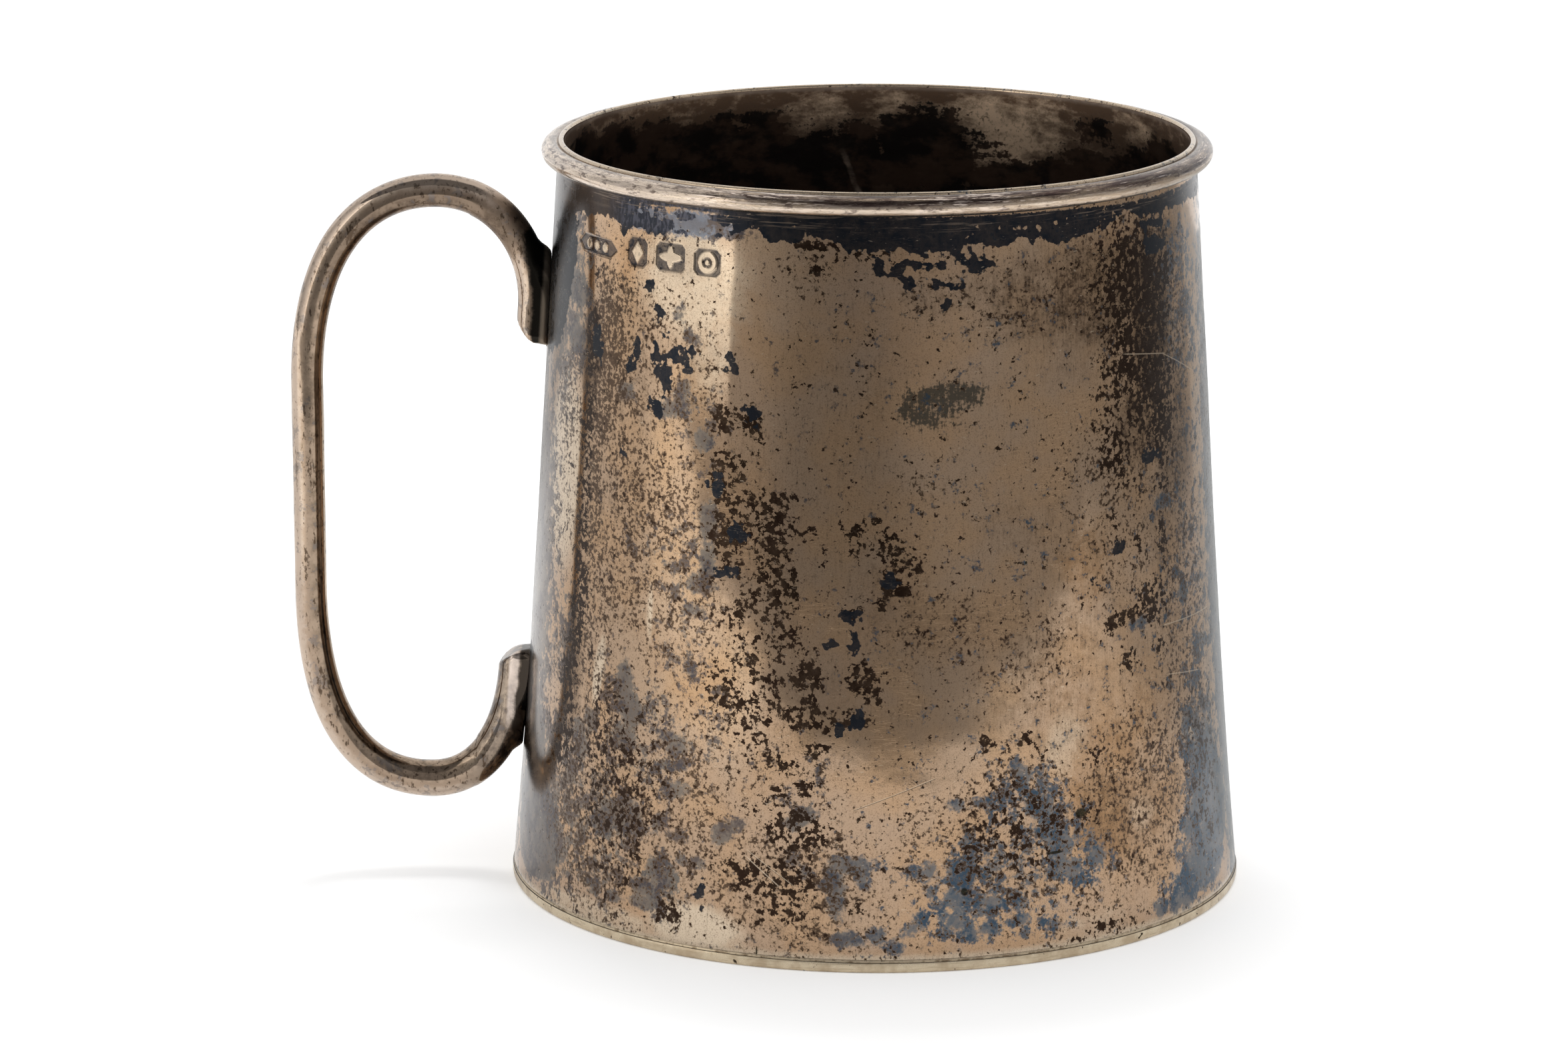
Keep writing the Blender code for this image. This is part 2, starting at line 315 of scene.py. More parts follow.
# The dabs at -81 and -84 degrees, beside the handle's joints, are partly a painted reflection of the dark
# handle in the wall, laid over the tarnish there.
SOOT_AND_REFLECTION = [
    (-81, 65, 8, 11.5), (-94, 62, 4, 7.5, 12), (-84, 20, 3, 4), (-0.3, 66.9, 0.85, 0.52),
    (2.9, 66.8, 1.15, 0.6), (7.2, 66.95, 1.8, 0.36), (15.3, 67.05, 1.3, 0.42), (16.7, 66.5, 0.75, 0.6),
    (4.6, 65.15, 0.7, 0.58), (10.6, 65.05, 0.85, 0.34), (11, 63.3, 0.5, 0.36), (-43.4, 63.6, 0.8, 0.6, -10),
    (-41, 61.1, 0.6, 0.72), (-39.2, 59.2, 0.8, 0.55, 30), (-45.6, 57, 0.42, 0.8, -15),
    (-41.3, 56.9, 0.6, 1.15), (-39.2, 55.4, 0.85, 1.6, 10), (-37, 57.4, 1, 0.72, 35), (-34, 57.9, 0.55, 0.5),
    (-34.2, 56.3, 0.5, 0.65), (-40.8, 52.3, 0.75, 0.8), (-47, 55.6, 0.62, 0.7, -20),
    (-47.3, 47.1, 0.55, 0.38), (-26.3, 57.4, 0.45, 0.75, 20), (-24.7, 56.6, 0.4, 0.4), (-22, 52.4, 0.85, 0.8),
    (-28, 45.5, 0.8, 0.95), (-24.2, 41.4, 0.6, 0.8), (-21.7, 40.8, 0.35, 0.55), (-25.3, 37.7, 1.2, 0.36, 12),
    (1.6, 37.4, 0.75, 0.62), (37.3, 35.6, 0.42, 0.4), (-4.9, 34, 0.85, 0.7), (-4.6, 32.2, 0.35, 1.2),
    (-8, 31, 0.38, 0.42), (-3.8, 24.2, 0.6, 0.65), (-6.5, 22.8, 0.5, 0.65), (52, 46.3, 1.2, 0.75),
    (43.2, 38.4, 0.55, 0.7), (57.5, 68.4, 1, 0.42), (53.5, 68.4, 0.6, 0.3), (56, 66.4, 1.8, 0.8),
    (-57, 57, 0.9, 1.6, 15), (-28.5, 7, 0.25, 0.9),
]
SLATE = [
    (12.5, 9, 1.5, 1.75), (12, 6.9, 1.2, 1.2), (17.5, 9.6, 0.85, 0.7), (13.6, 12.3, 0.8, 0.6),
    (16.2, 15.9, 1, 0.5, -8), (19, 15.4, 0.9, 0.4), (12, 15.8, 0.7, 0.5), (23.2, 17.8, 0.9, 1.2),
    (22, 19.3, 0.7, 0.75), (26, 15, 1.8, 1.3, -30), (27.5, 13, 1.2, 2), (29, 11, 1.5, 1.6),
    (17, 6.4, 1.6, 0.75), (21.5, 5.9, 0.95, 0.55), (22, 4.4, 0.9, 0.55), (14, 3.7, 1.4, 0.55),
    (16.7, 3.9, 1.1, 0.55), (12, 4.7, 1.1, 0.75), (10, 3.9, 0.75, 0.42), (27.5, 3.5, 0.95, 0.65, 10),
    (28.5, 8.7, 1.5, 0.65), (31.5, 8.5, 1, 0.95), (36, 9.2, 1.3, 0.95, 25), (33.5, 7.4, 0.75, 0.55),
    (6.5, 5.5, 0.8, 0.42), (5, 4.2, 1.1, 0.42, 15), (9.5, 5.4, 0.7, 0.4), (5, 9.8, 0.6, 0.55),
    (7.7, 9.8, 0.5, 0.7), (7.5, 7.6, 0.42, 0.85), (-4.6, 10.3, 2.1, 0.8), (-6.9, 8, 0.9, 2.4),
    (-2.7, 9.2, 0.65, 1), (-8.3, 8.3, 0.7, 0.62), (-12, 14.7, 1.3, 0.75, 20), (-13.8, 14, 0.7, 0.55),
    (-13.6, 10.6, 0.95, 0.62, -15), (-11.7, 9.5, 0.7, 0.62), (-25.3, 12.5, 0.95, 0.9),
    (-23.2, 13.2, 1.1, 0.62, 25), (-26, 11.8, 0.7, 0.62), (-5.5, 3.3, 1.1, 0.8), (-3.5, 3, 0.9, 0.55),
    (-0.5, 3.5, 0.7, 0.85), (2.5, 2.5, 0.7, 0.55), (-36.8, 12.6, 0.62, 1.35, -35), (-33.3, 11.5, 0.9, 0.45),
    (-32, 9.4, 0.5, 0.5), (-29.5, 9.3, 0.7, 0.55), (-39.8, 11.2, 0.62, 0.5), (-34, 20, 1.4, 1),
    (-35, 18.2, 2.2, 0.55, 15), (-34.5, 15.9, 1.6, 0.75, 10), (-36, 21, 1.6, 0.45), (-45, 20, 1.6, 1.4),
    (-45.6, 24.5, 1.2, 2.7), (-43.6, 22.5, 1.5, 1.6), (-46, 12.3, 2.6, 1.5), (-49, 11, 1.6, 1.3),
    (-42, 12, 1.2, 1.5), (-43.5, 13.6, 1.5, 0.7), (-36, 7.6, 1.8, 1.6), (-39, 6, 1.8, 0.95),
    (-38.5, 4.6, 2.5, 0.75), (-49.8, 4.6, 0.95, 0.75), (-45.5, 4.3, 1, 0.55), (-57, 19, 0.95, 1.4),
    (-55.5, 17.8, 1, 1.5), (-53.5, 20.6, 1, 1.2), (49.3, 2.7, 1, 0.95), (53.5, 2.5, 1.3, 0.85),
    (57, 3.6, 2.2, 1.9), (62, 4.6, 3.2, 2), (67, 6, 3.8, 3.4), (70, 10, 4.2, 5), (67, 14.5, 3, 3.5),
    (61.5, 16, 1.6, 1.3), (63, 12, 1.7, 2.2), (60, 9.4, 2.3, 0.95), (60, 19.5, 1, 1.6, -25),
    (67.5, 26.4, 2, 0.75, -8), (64, 23.2, 1.5, 0.8), (-30.8, 49.7, 1, 0.95, 20), (-29.3, 42, 1.1, 1.9),
    (-29.3, 38, 0.9, 2.2), (-31, 36, 1.2, 1.1, 30), (-31.5, 33.4, 1.1, 0.6), (-37.2, 52.3, 2.2, 0.85, 8),
    (-35.6, 53.6, 0.8, 1.5, -35), (-33.4, 59, 1, 0.55, -25), (-36.5, 61.4, 0.5, 0.6),
    (-48, 53, 1.1, 0.75, 10), (-31.8, 27.7, 0.8, 0.6), (-66, 61.5, 3.4, 1.7, -20), (-64, 56.6, 1.9, 1.6),
    # The dab at -73 degrees and 16 mm is a painted reflection of the handle's loop in the wall.
    (-72, 8, 6.5, 5.5), (-73, 16, 2.6, 3.4), (-67, 5, 4, 2.3, 8), (56, 41.6, 1.6, 0.7, -10),
    (48, 30.7, 1.3, 0.45), (61, 32.2, 1, 0.9), (-33.5, 69.8, 5.2, 1.1), (-45, 69.6, 4.5, 1.1),
]
MOTTLE = [
    (-84, 30, 8.5, 24, 1.15), (81, 32, 4.5, 34, 1.1), (86, 12, 6, 14, 0.9), (88, 50, 6, 14, 0.7),
    (-74, 24, 3, 6, 0.8), (62, 8, 3.4, 6, 1), (-66, 11, 9.5, 9, 0.8), (-50, 10, 6, 7.5, 0.62),
    (-48, 20, 3, 8, 0.46), (-38, 20, 4, 6.5, 0.5), (-36, 6.5, 3, 3.5, 0.65), (-33, 29, 3.5, 4.5, 0.42),
    (-70, 60, 6, 10, 0.75), (-67, 28, 4.5, 5, 0.62), (66, 12, 5, 10, 0.9), (60, 6, 4, 4, 0.8),
    (55, 4, 3, 1.8, 0.6), (62, 17, 3.2, 4, 0.5), (66, 26, 2.5, 2, 0.6), (61, 33, 2.5, 5, 0.5),
    (62, 41, 2.5, 3, 0.45), (24, 15, 4.5, 3.8, 0.58), (20, 9, 7.5, 5.5, 0.56), (14, 5.5, 5, 3, 0.7),
    (24, 5, 5, 2.5, 0.52), (30, 11, 4, 4.5, 0.6), (34, 9, 3.5, 2.5, 0.6), (-34, 38, 4, 5, 0.45),
    (-44, 38, 4, 3, 0.35), (-32, 51, 3, 4, 0.4), (-28, 22, 2.2, 6, 0.36), (-14, 17, 4, 3, 0.3),
    (66, 60, 5, 9, 0.5), (90, 30, 20, 30, 0.42), (140, 40, 25, 28, 0.4), (-120, 35, 22, 28, 0.42),
    (180, 20, 20, 16, 0.5),
]
SPECKS = [
    (-54, 55, 4, 10, 1.15), (-14, 8, 9, 6, 0.8), (46, 14, 8, 10, 0.75), (-36, 54, 6, 7, 0.6),
    (-50, 13, 10, 12, 0.9), (-34, 14, 6, 10, 0.7), (-57, 40, 2.6, 22, 1), (62, 25, 6, 20, 0.66),
    (22, 12, 8, 8, 0.8), (51, 61, 6.5, 10, 1), (41, 64, 6, 5, 0.7), (45, 48, 6, 5, 0.8), (-44, 56, 9, 8, 0.6),
    (-50, 40, 9, 14, 0.6), (-52, 66.5, 9, 3, 0.35), (46, 16, 7, 9, 0.5), (-57.5, 55, 1.8, 8, 1),
    (-58, 47, 2.2, 3, 1), (-52, 61.5, 4, 1.9, 0.95, 12), (-52, 50, 4.2, 6, 0.85), (-47.5, 53, 3, 5, 0.7),
    (-45, 45, 6, 6, 0.8), (-40, 42, 6, 5, 0.82), (-38, 48, 5, 5, 0.6), (-36, 33, 7, 7, 0.66),
    (-47, 36, 6.5, 7.5, 0.75), (-55, 30, 4.5, 10, 0.7), (-67, 38, 4.5, 6, 0.55), (-52, 22, 5, 6, 0.8),
    (-66, 50, 4, 6, 0.7), (-62, 20, 6, 12, 0.6), (-40, 8, 8, 5, 0.5), (-30, 22, 6, 10, 0.5),
    (-14, 17, 6, 5, 0.5), (-8, 12.5, 2.5, 1.5, 0.7), (8, 12, 4, 5, 0.62), (22, 13, 7, 8, 0.5),
    (36, 8, 6, 6, 0.55), (38, 14, 5, 6, 0.6), (44, 40, 5, 9, 0.55), (36, 44, 4, 6, 0.4), (24, 30, 6, 5, 0.5),
    (10, 33, 6, 4, 0.5), (22, 63.5, 6, 3.5, 0.55), (9, 64, 4, 2.4, 0.55), (36, 63, 5, 4, 0.5),
    (5, 46, 2.8, 1.4, 0.55), (-12, 66, 3, 2.5, 0.5), (58, 50, 4, 12, 0.8), (63, 58, 3, 10, 0.7),
    (64, 36, 4, 8, 0.7), (36, 3, 8, 2.4, 0.5), (0, 3.5, 12, 2, 0.4), (100, 48, 16, 20, 0.7),
    (150, 22, 18, 18, 0.75), (-150, 50, 18, 16, 0.75), (-105, 22, 12, 18, 0.8), (180, 58, 12, 8, 0.6),
    (-95, 50, 8, 14, 0.8),
]
CLUMPS = [
    (-46, 15, 6, 10, 0.5), (-59, 40, 1.2, 20, 0.75), (51, 60, 5, 9, 1), (22, 12, 6, 5, 0.5),
    (66, 14, 4, 9, 0.5), (56.5, 51, 2.6, 6, 0.95), (46.5, 64, 4, 5, 0.85), (49, 55, 3.5, 5, 0.6),
    (-21, 26, 5, 5, 0.6), (-18, 36, 3, 5, 0.5), (47, 58, 3, 4, 0.7), (57, 64, 2.6, 3.6, 0.9),
    (-13, 13.5, 3, 2, 0.75), (-59, 30, 1.5, 4.5, 0.9), (-60.5, 24, 1.8, 5, 0.85), (-57, 33, 1.2, 2, 0.8),
    (-58.5, 57.5, 1.3, 3.2, 0.95), (-58.5, 49, 0.9, 3, 0.85), (-61.5, 17, 1.8, 2.6, 0.85),
    (-26.5, 52, 2, 1.5, 0.82), (-22.4, 52, 1.3, 1.4, 1), (-21.2, 50.3, 0.8, 1.3, 0.8),
    (-26, 47, 2.2, 2.6, 0.72), (-22, 44, 3.4, 1.7, 0.86), (-26, 40.4, 2.2, 3.4, 0.82),
    (-21.5, 41.5, 1.7, 1.6, 0.78), (-18.4, 39.5, 2, 4.2, 0.74), (-16.5, 42.5, 1.3, 1.9, 0.86),
    (-15, 45.1, 0.9, 0.6, 0.9), (-12.2, 41.8, 1.2, 0.6, 0.95, 8), (-15.6, 36.5, 1.5, 2.5, 0.8),
    (-19.5, 35, 2.5, 3.3, 0.66), (-16.5, 31, 3, 2.4, 0.72), (-12, 28.3, 1.7, 1.6, 0.92),
    (-12.5, 24.5, 2.6, 1.7, 0.8), (-20, 28.5, 2, 1.5, 0.66), (-23.5, 33, 1.5, 2.4, 0.6),
    (-2.6, 28, 1.9, 1.7, 0.88), (-1, 26, 1, 0.7, 0.8), (-5, 24, 2.4, 0.75, 0.95),
    (-8.5, 23.6, 1.6, 0.8, 0.85), (-10, 21.2, 1.1, 0.8, 0.9), (-17.5, 24, 1.5, 0.9, 0.7),
    (-19, 22, 1.4, 0.7, 0.7), (-24, 28.5, 1.3, 0.6, 0.6), (1.5, 40.5, 1.6, 1.9, 0.78),
    (4.4, 38.6, 1.6, 1.5, 0.74), (2.5, 37, 1.6, 1.5, 0.78), (0.6, 35, 1.1, 1.1, 0.7),
    (-4.8, 42.2, 1.4, 0.6, 0.86), (-3.2, 40.4, 1.3, 0.9, 0.66), (-0.8, 43.1, 0.5, 0.45, 0.95),
    (-5, 34.2, 1, 0.7, 0.9), (-15.5, 8.2, 3.2, 2.4, 0.82), (-20.2, 8.7, 1.9, 1.9, 0.84),
    (-14, 5.6, 2.4, 1.3, 0.8), (-23.5, 9.6, 1.6, 0.8, 0.7), (-18, 5.2, 1.5, 0.8, 0.7),
    (-3.5, 6, 1.1, 0.7, 0.8), (-15.5, 19.5, 2.2, 1.2, 0.66), (-17, 16.5, 1.6, 1.2, 0.66),
    (-12, 17.4, 1.3, 1, 0.66), (-21.5, 15, 1.1, 0.6, 0.6), (-34, 4.3, 1.4, 1.5, 0.9),
    (44, 54, 3.2, 3.4, 0.66), (54, 57, 2.6, 10, 1), (51, 50.5, 3.6, 2.2, 0.84), (42.5, 47.6, 2.1, 2.4, 0.8),
    (40.2, 50.1, 1.3, 0.5, 0.9), (44.5, 49.8, 1.8, 0.9, 0.7), (44, 44.6, 1.1, 0.7, 0.8),
    (48, 44.6, 1.1, 0.7, 0.8), (51, 32.5, 3, 2, 0.8), (44.5, 31.6, 2, 0.8, 0.85), (41, 31.2, 1.1, 0.9, 0.95),
    (45, 27.6, 1.2, 1.6, 0.8), (53, 27.8, 1.4, 0.8, 0.7), (54.5, 38, 1, 2.4, 0.75), (48, 38.4, 0.7, 0.9, 0.9),
    (42.6, 41, 0.6, 1.2, 0.8), (56, 43.5, 1.4, 0.8, 0.8), (37, 19, 1, 0.7, 0.6), (35, 13.6, 2.4, 1.4, 0.5),
    (38, 2.4, 3.4, 0.5, 0.85), (33, 1.9, 1.6, 0.4, 0.85), (23.4, 21.8, 1, 0.5, 0.95, 45),
    (24.6, 21, 0.8, 0.4, 0.95, -40), (16.6, 22, 0.6, 0.5, 0.9), (-11.4, 68.8, 3, 0.5, 0.9),
    (-11, 66.4, 0.6, 0.5, 1), (33.6, 65.9, 1.4, 0.5, 0.86, -10), (-2.5, 67.9, 3.2, 0.4, 0.7),
    (47, 67, 4.6, 1, 0.7), (18, 21.3, 1.3, 0.5, 0.5, 20), (120, 35, 8, 14, 0.8), (-125, 15, 9, 10, 0.8),
    (170, 40, 9, 9, 0.8), (-165, 62, 9, 5, 0.75),
]
HAZE = [
    (48, 13, 8, 9, 0.4), (-12, 7, 8, 6, 0.4), (20, 25, 5, 2.5, 0.4), (60, 66, 3, 3, 0.8), (38, 13, 5, 5, 0.6),
    (52, 13, 5, 5, 0.5), (-48, 57, 8, 8, 0.4), (-52, 40, 7, 14, 0.35), (-46, 12, 9, 10, 0.26),
    (54, 60, 4, 9.5, 1), (49, 63, 4.6, 6, 0.75), (40, 63, 7, 6, 0.8), (45, 21, 9, 11, 0.3),
    (42, 30, 7, 6, 0.3), (22, 64.5, 5, 2.4, 0.5), (10, 64, 5, 1.8, 0.4), (30, 63, 7, 5, 0.65),
    (36, 58, 6, 4, 0.35), (50, 50, 4, 5, 0.75), (24, 42, 5, 3, 0.36), (26, 31, 4.5, 3.5, 0.5),
    (10, 33, 6, 3, 0.42), (34, 38, 3.5, 5, 0.42), (-58.5, 56, 2.2, 5, 0.9), (-58, 42, 1.4, 20, 0.5),
    (-60, 24, 2.2, 8, 0.8), (2, 36, 4, 6, 0.34), (57, 36, 4, 12, 0.55), (57, 22, 3, 6, 0.35),
    (60, 48, 4, 9, 0.7), (-23, 40, 6, 13, 0.32), (-16, 8, 5, 4, 0.4), (-12, 26, 6, 5, 0.35),
    (22, 12, 8, 7, 0.4), (-52, 14, 8, 10, 0.3), (110, 55, 16, 14, 0.9), (160, 35, 22, 18, 0.7),
    (-140, 25, 22, 20, 0.8), (-100, 60, 10, 10, 1), (-4, 55, 4, 10, 0.2), (30, 27, 7, 10, 0.42),
]
AMBER = [
    (46, 16, 9, 9, 0.6), (31, 26, 5, 6, 0.5), (38, 17, 5.5, 6, 0.8), (38, 11.5, 4, 3.5, 1),
    (36, 37, 3, 4.5, 0.7), (33, 30, 3, 5, 0.35), (57, 7, 3, 1.4, 0.6), (-31, 27, 4.5, 5, 0.5),
    (-37, 29, 3, 3, 0.5), (-25, 19, 4, 5, 0.3), (-58, 63.5, 4, 2, 0.4), (-50, 65, 1.5, 3, 0.5),
    (-49, 34, 5, 8, 0.3), (64, 44, 4, 10, 0.2), (130, 30, 14, 18, 0.5), (-160, 20, 14, 14, 0.5),
]
CLEAN = [
    (-34, 64.5, 6.5, 6, 0.75), (-30, 60, 3, 7, 0.6), (-67, 44, 4.5, 10, 0.9), (-29.5, 3, 5.2, 2.3, 1),
    (-52, 25.5, 0.8, 3.6, 1, -8), (-40.6, 32.5, 0.32, 3.5, 0.9), (31, 20.5, 2.6, 3.6, 0.6),
    (46, 12.5, 2.2, 1.8, 0.6), (-50, 2.2, 10, 1.4, 0.6), (62, 18.3, 2.4, 0.9, 0.7), (56, 12, 2.5, 8, 0.3),
    (-24, 24, 4, 9, 0.3), (34, 3, 5, 1.5, 0.4), (170, 50, 10, 12, 0.4), (-170, 8, 14, 4, 0.5),
]
SMUDGE = [
    (10.5, 54.6, 4, 0.9, 0.95, 4), (8.5, 53.2, 3, 0.8, 0.8, 8), (4.2, 53.4, 0.7, 0.8, 1),
    (5.5, 54.4, 1.2, 0.45, 1, 30), (10.5, 55.4, 2.2, 0.5, 1, 5), (14.8, 55.3, 1.1, 0.5, 1, -8),
    (13.4, 54.4, 2, 0.5, 0.9, -4), (16, 54, 0.6, 0.6, 0.8), (10.5, 54, 1.2, 0.35, 0.8, 20),
    (11.6, 53.2, 2.2, 0.35, 0.7, 6), (6.8, 52.7, 1.8, 0.45, 1, -6), (9, 52, 1.4, 0.4, 0.6, 10),
    (13, 51.9, 0.8, 0.3, 0.5), (5.2, 51.8, 0.8, 0.35, 0.5), (4, 54.9, 0.9, 0.35, 0.6, 40),
]
INNER_LIGHT = [
    (153, 69, 6, 3.6, 1), (144, 67.6, 3, 1.2, 0.8), (-170, 68.4, 4, 3.4, 0.45), (170, 71, 6, 1.2, 0.6),
    (130, 66.6, 4, 1, 0.7), (146, 65, 5, 0.8, 0.7), (-140, 71.2, 12, 1, 0.15), (118, 70.4, 4, 1.6, 0.5),
]
INNER_BLACK = [
    (-110, 66, 6, 6.3), (-122, 66, 6, 6), (-134, 65.6, 6, 5.8), (-146, 65.2, 6, 5.6), (-158, 64.8, 6, 5.2),
    (-168, 64, 6, 4.2), (-177, 65.5, 3, 4.2), (172, 66.2, 4, 5), (165, 66, 2.4, 4.4), (153, 62.4, 6, 3.8),
    (143, 62.8, 5, 4.2), (132, 63.8, 5, 4.2), (121, 64.6, 6, 4.6), (110, 65.6, 6, 5.6),
    (-156, 70.2, 2.6, 0.8), (-162, 69.7, 2.2, 0.7, 5), (-150, 70.5, 2, 0.6, -6), (165, 70, 1.5, 1),
    (160, 69.2, 1.3, 0.7), (169, 71.6, 1, 0.7), (133, 70.7, 1.6, 0.9), (128, 69.8, 1.6, 0.6),
    (114, 71.2, 1.2, 0.8), (139, 69.4, 1.4, 0.5, 8), (-170, 69, 2.2, 0.7), (176, 69.4, 1.3, 0.9),
    (-128, 71.6, 1.3, 0.5), (-104, 71.7, 1.8, 0.7),
]

FOOT_RUBBED_TO = 2.2
FADED_AT = 1.35
FADE = 0.7

wall = piece_from(sheet, "mug_wall")
places = numpy.empty(len(wall.data.vertices) * 3)
wall.data.vertices.foreach_get("co", places)
places = places.reshape(-1, 3) / MM
around = numpy.degrees(numpy.arctan2(places[:, 0], -places[:, 1]))
high = places[:, 2]
girth = numpy.radians(1.0) * numpy.hypot(places[:, 0], places[:, 1])


def dab_distance(angle, height, across, tall, lean=0.0):
    """How far each point of the wall is from a dab's middle, 1 being the dab's edge."""
    aside = ((around - angle + 180.0) % 360.0 - 180.0) * girth
    above = high - height
    turn = math.radians(lean)
    along = aside * math.cos(turn) + above * math.sin(turn)
    athwart = above * math.cos(turn) - aside * math.sin(turn)
    return numpy.hypot(along / across, athwart / tall)


def depth_in(dabs):
    """Millimetres inside the nearest dab's edge, or outside it as a negative."""
    deepest = numpy.full(len(high), -2.0)
    for angle, height, across, tall, *lean in dabs:
        away = dab_distance(angle, height, across, tall, *lean)
        deepest = numpy.maximum(deepest, (1.0 - away) * min(across, tall))
    return deepest


def strength_of(dabs):
    """The strongest dab at each point, fading out towards the dab's edge."""
    strongest = numpy.zeros(len(high))
    for angle, height, across, tall, strength, *lean in dabs:
        away = dab_distance(angle, height, across, tall, *lean)
        strongest = numpy.maximum(strongest, strength * numpy.clip(FADED_AT - away, 0.0, FADE) / FADE)
    return strongest


edge_angles, edge_heights = zip(*SOOT_EDGE)
band = high - numpy.interp(around, edge_angles, edge_heights)
soot = numpy.maximum(band, depth_in(SOOT_AND_REFLECTION))
soot = numpy.minimum(soot, -depth_in(SOOT_WIPED))
top_angles, top_heights = zip(*SOOT_AND_SHADE_TOP)
soot = numpy.minimum(soot, numpy.interp(around, top_angles, top_heights) - high)

# Four small punches were struck beside the handle, and plain shapes stand in each: pellets,
# a lozenge, a four-petalled flower and a ring. Dirt has blackened their sunk grounds.
PUNCH_DEPTH = 0.11
PUNCH_GIRTH = 31.4
PUNCH_OUTSIDE = 31.0


def beside(angle, height):
    """Millimetres across and up from a place on the wall, near the lip."""
    return numpy.radians(around - angle) * PUNCH_GIRTH, high - height


def oval(across, up, wide, tall):
    """How far outside an oval, with its edge at 0."""
    return numpy.hypot(across / wide, up / tall) - 1.0


def octagon(across, up, wide, tall, corner):
    """How far outside a box with its corners cut off, in millimetres."""
    return numpy.maximum(numpy.maximum(abs(across) - wide, abs(up) - tall), abs(across) + abs(up) - corner)


def ramp(values, low, top):
    """A smooth step from 0 at one value to 1 at another."""
    part = numpy.clip((values - low) / (top - low), 0.0, 1.0)
    return part * part * (3.0 - 2.0 * part)


across, up = beside(-58.6, 66.0)
tapered = numpy.maximum(abs(up) - 0.88, abs(across) + abs(up) * 1.3 - 3.6)
pellets = numpy.minimum(oval(across, up, 0.42, 0.42), oval(abs(across) - 1.5, up, 0.42, 0.42))
punches = [(tapered, pellets)]
across, up = beside(-46.7, 66.35)
punches.append((octagon(across, up, 1.36, 1.4, 2.25), abs(across) * 1.35 + abs(up) - 1.0))
across, up = beside(-38.9, 66.4)
flower = numpy.minimum(oval(across, up, 1.25, 0.42), oval(across, up, 0.42, 0.95))
punches.append((octagon(across, up, 1.78, 1.36, 2.7), flower))
across, up = beside(-31.1, 66.35)
ringlet = numpy.minimum(abs(oval(across, up, 0.78, 0.78)) - 0.24, oval(across, up, 0.24, 0.24))
punches.append((octagon(across, up, 1.48, 1.32, 2.3), ringlet))
sunk, dirty, raised = numpy.zeros((3, len(high)))
for punch, motif in punches:
    here = ramp(-punch, -0.04, 0.16)
    bare = here * ramp(motif, -0.02, 0.3)
    sunk = numpy.maximum(sunk, bare)
    raised = numpy.maximum(raised, here * ramp(motif, 0.12, -0.05))
    dirty = numpy.maximum(dirty, numpy.maximum(bare * 0.86, here * ramp(-punch, 0.45, 0.05) * 0.9))
from_axis = numpy.hypot(places[:, 0], places[:, 1])
struck = 1.0 - sunk * (from_axis > PUNCH_OUTSIDE) * PUNCH_DEPTH / from_axis
places[:, :2] *= struck[:, None]
wall.data.vertices.foreach_set("co", (places * MM).ravel())
wall.data.update()

laid_on = {
    "punch_dirt": dirty,
    "punch_raised": raised,
    "soot": soot,
    "slate": depth_in(SLATE),
    "mottle": strength_of(MOTTLE),
    "specks": strength_of(SPECKS),
    "clumps": strength_of(CLUMPS),
    "blackened": depth_in(INNER_BLACK),
    "browned": strength_of(INNER_LIGHT),
    "haze": strength_of(HAZE),
    "amber": strength_of(AMBER),
    "clean": numpy.maximum(strength_of(CLEAN), numpy.clip(FOOT_RUBBED_TO - high, 0.0, 1.0)),
    "smudge": strength_of(SMUDGE),
}
# The lip is rubbed, most of all along its top.
for low, clean, haze in [(72.0, 0.35, 0.5), (73.45, 0.9, 0.1)]:
    laid_on["clean"][high > low] = clean
    laid_on["haze"][high > low] = haze
for name, values in laid_on.items():
    attribute = wall.data.attributes.new(name, "FLOAT", "POINT")
    attribute.data.foreach_set("value", values.astype(numpy.float32))

SILVER = (0.43, 0.302, 0.205)
SILVER_WARM = (0.45, 0.295, 0.178)
SILVER_CLEAN = (0.62, 0.50, 0.37)
FILM_AMBER = (0.34, 0.19, 0.09)
FILM_HALO = (0.20, 0.135, 0.085)
FILM_BROWN = (0.115, 0.072, 0.042)
FILM_DARK = (0.050, 0.032, 0.021)
FILM_SLATE = (0.125, 0.132, 0.14)
FILM_BLUE = (0.040, 0.068, 0.100)
FILM_ASH = (0.15, 0.133, 0.117)
FILM_PLUM = (0.068, 0.060, 0.064)
FILM_PALE_BLUE = (0.15, 0.175, 0.22)
FILM_SPECK = (0.026, 0.015, 0.010)
FILM_GREY = (0.046, 0.047, 0.040)
FILM_WORM = (0.050, 0.030, 0.020)
FILM_SOOT_AND_SHADE = (0.017, 0.020, 0.026)
SOOT_HATCHED = (0.085, 0.085, 0.105)
SOOT_BROWN = (0.045, 0.034, 0.030)
SOOT_STREAKED = (0.19, 0.15, 0.12)
PUNCH_DIRT = (0.032, 0.031, 0.036)
PIT_BLACK = (0.02, 0.018, 0.010)
PITS = [(33.3, 13.8, 0.72, 0.46), (13, 7.6, 0.36, 0.36), (28.2, 10.4, 0.95, 0.13), (-18.9, 1.6, 0.09, 0.5),
        (24.4, 38.4, 0.13, 0.22)]
PIT_GIRTH = 35.0
SCRATCHES = [(-4, 15.6, 8.5, 18.5, 0.05), (46, 56.7, 58, 55.7, 0.06), (57, 55.8, 69, 53, 0.06),
             (-21, 10.5, -15.5, 7.9, 0.07), (-21, 11.2, -13.5, 8.2, 0.05), (54, 29.7, 72, 29.2, 0.07),
             (55, 24.8, 66, 23.8, 0.05)]
SCRATCH_GIRTH = 34.0

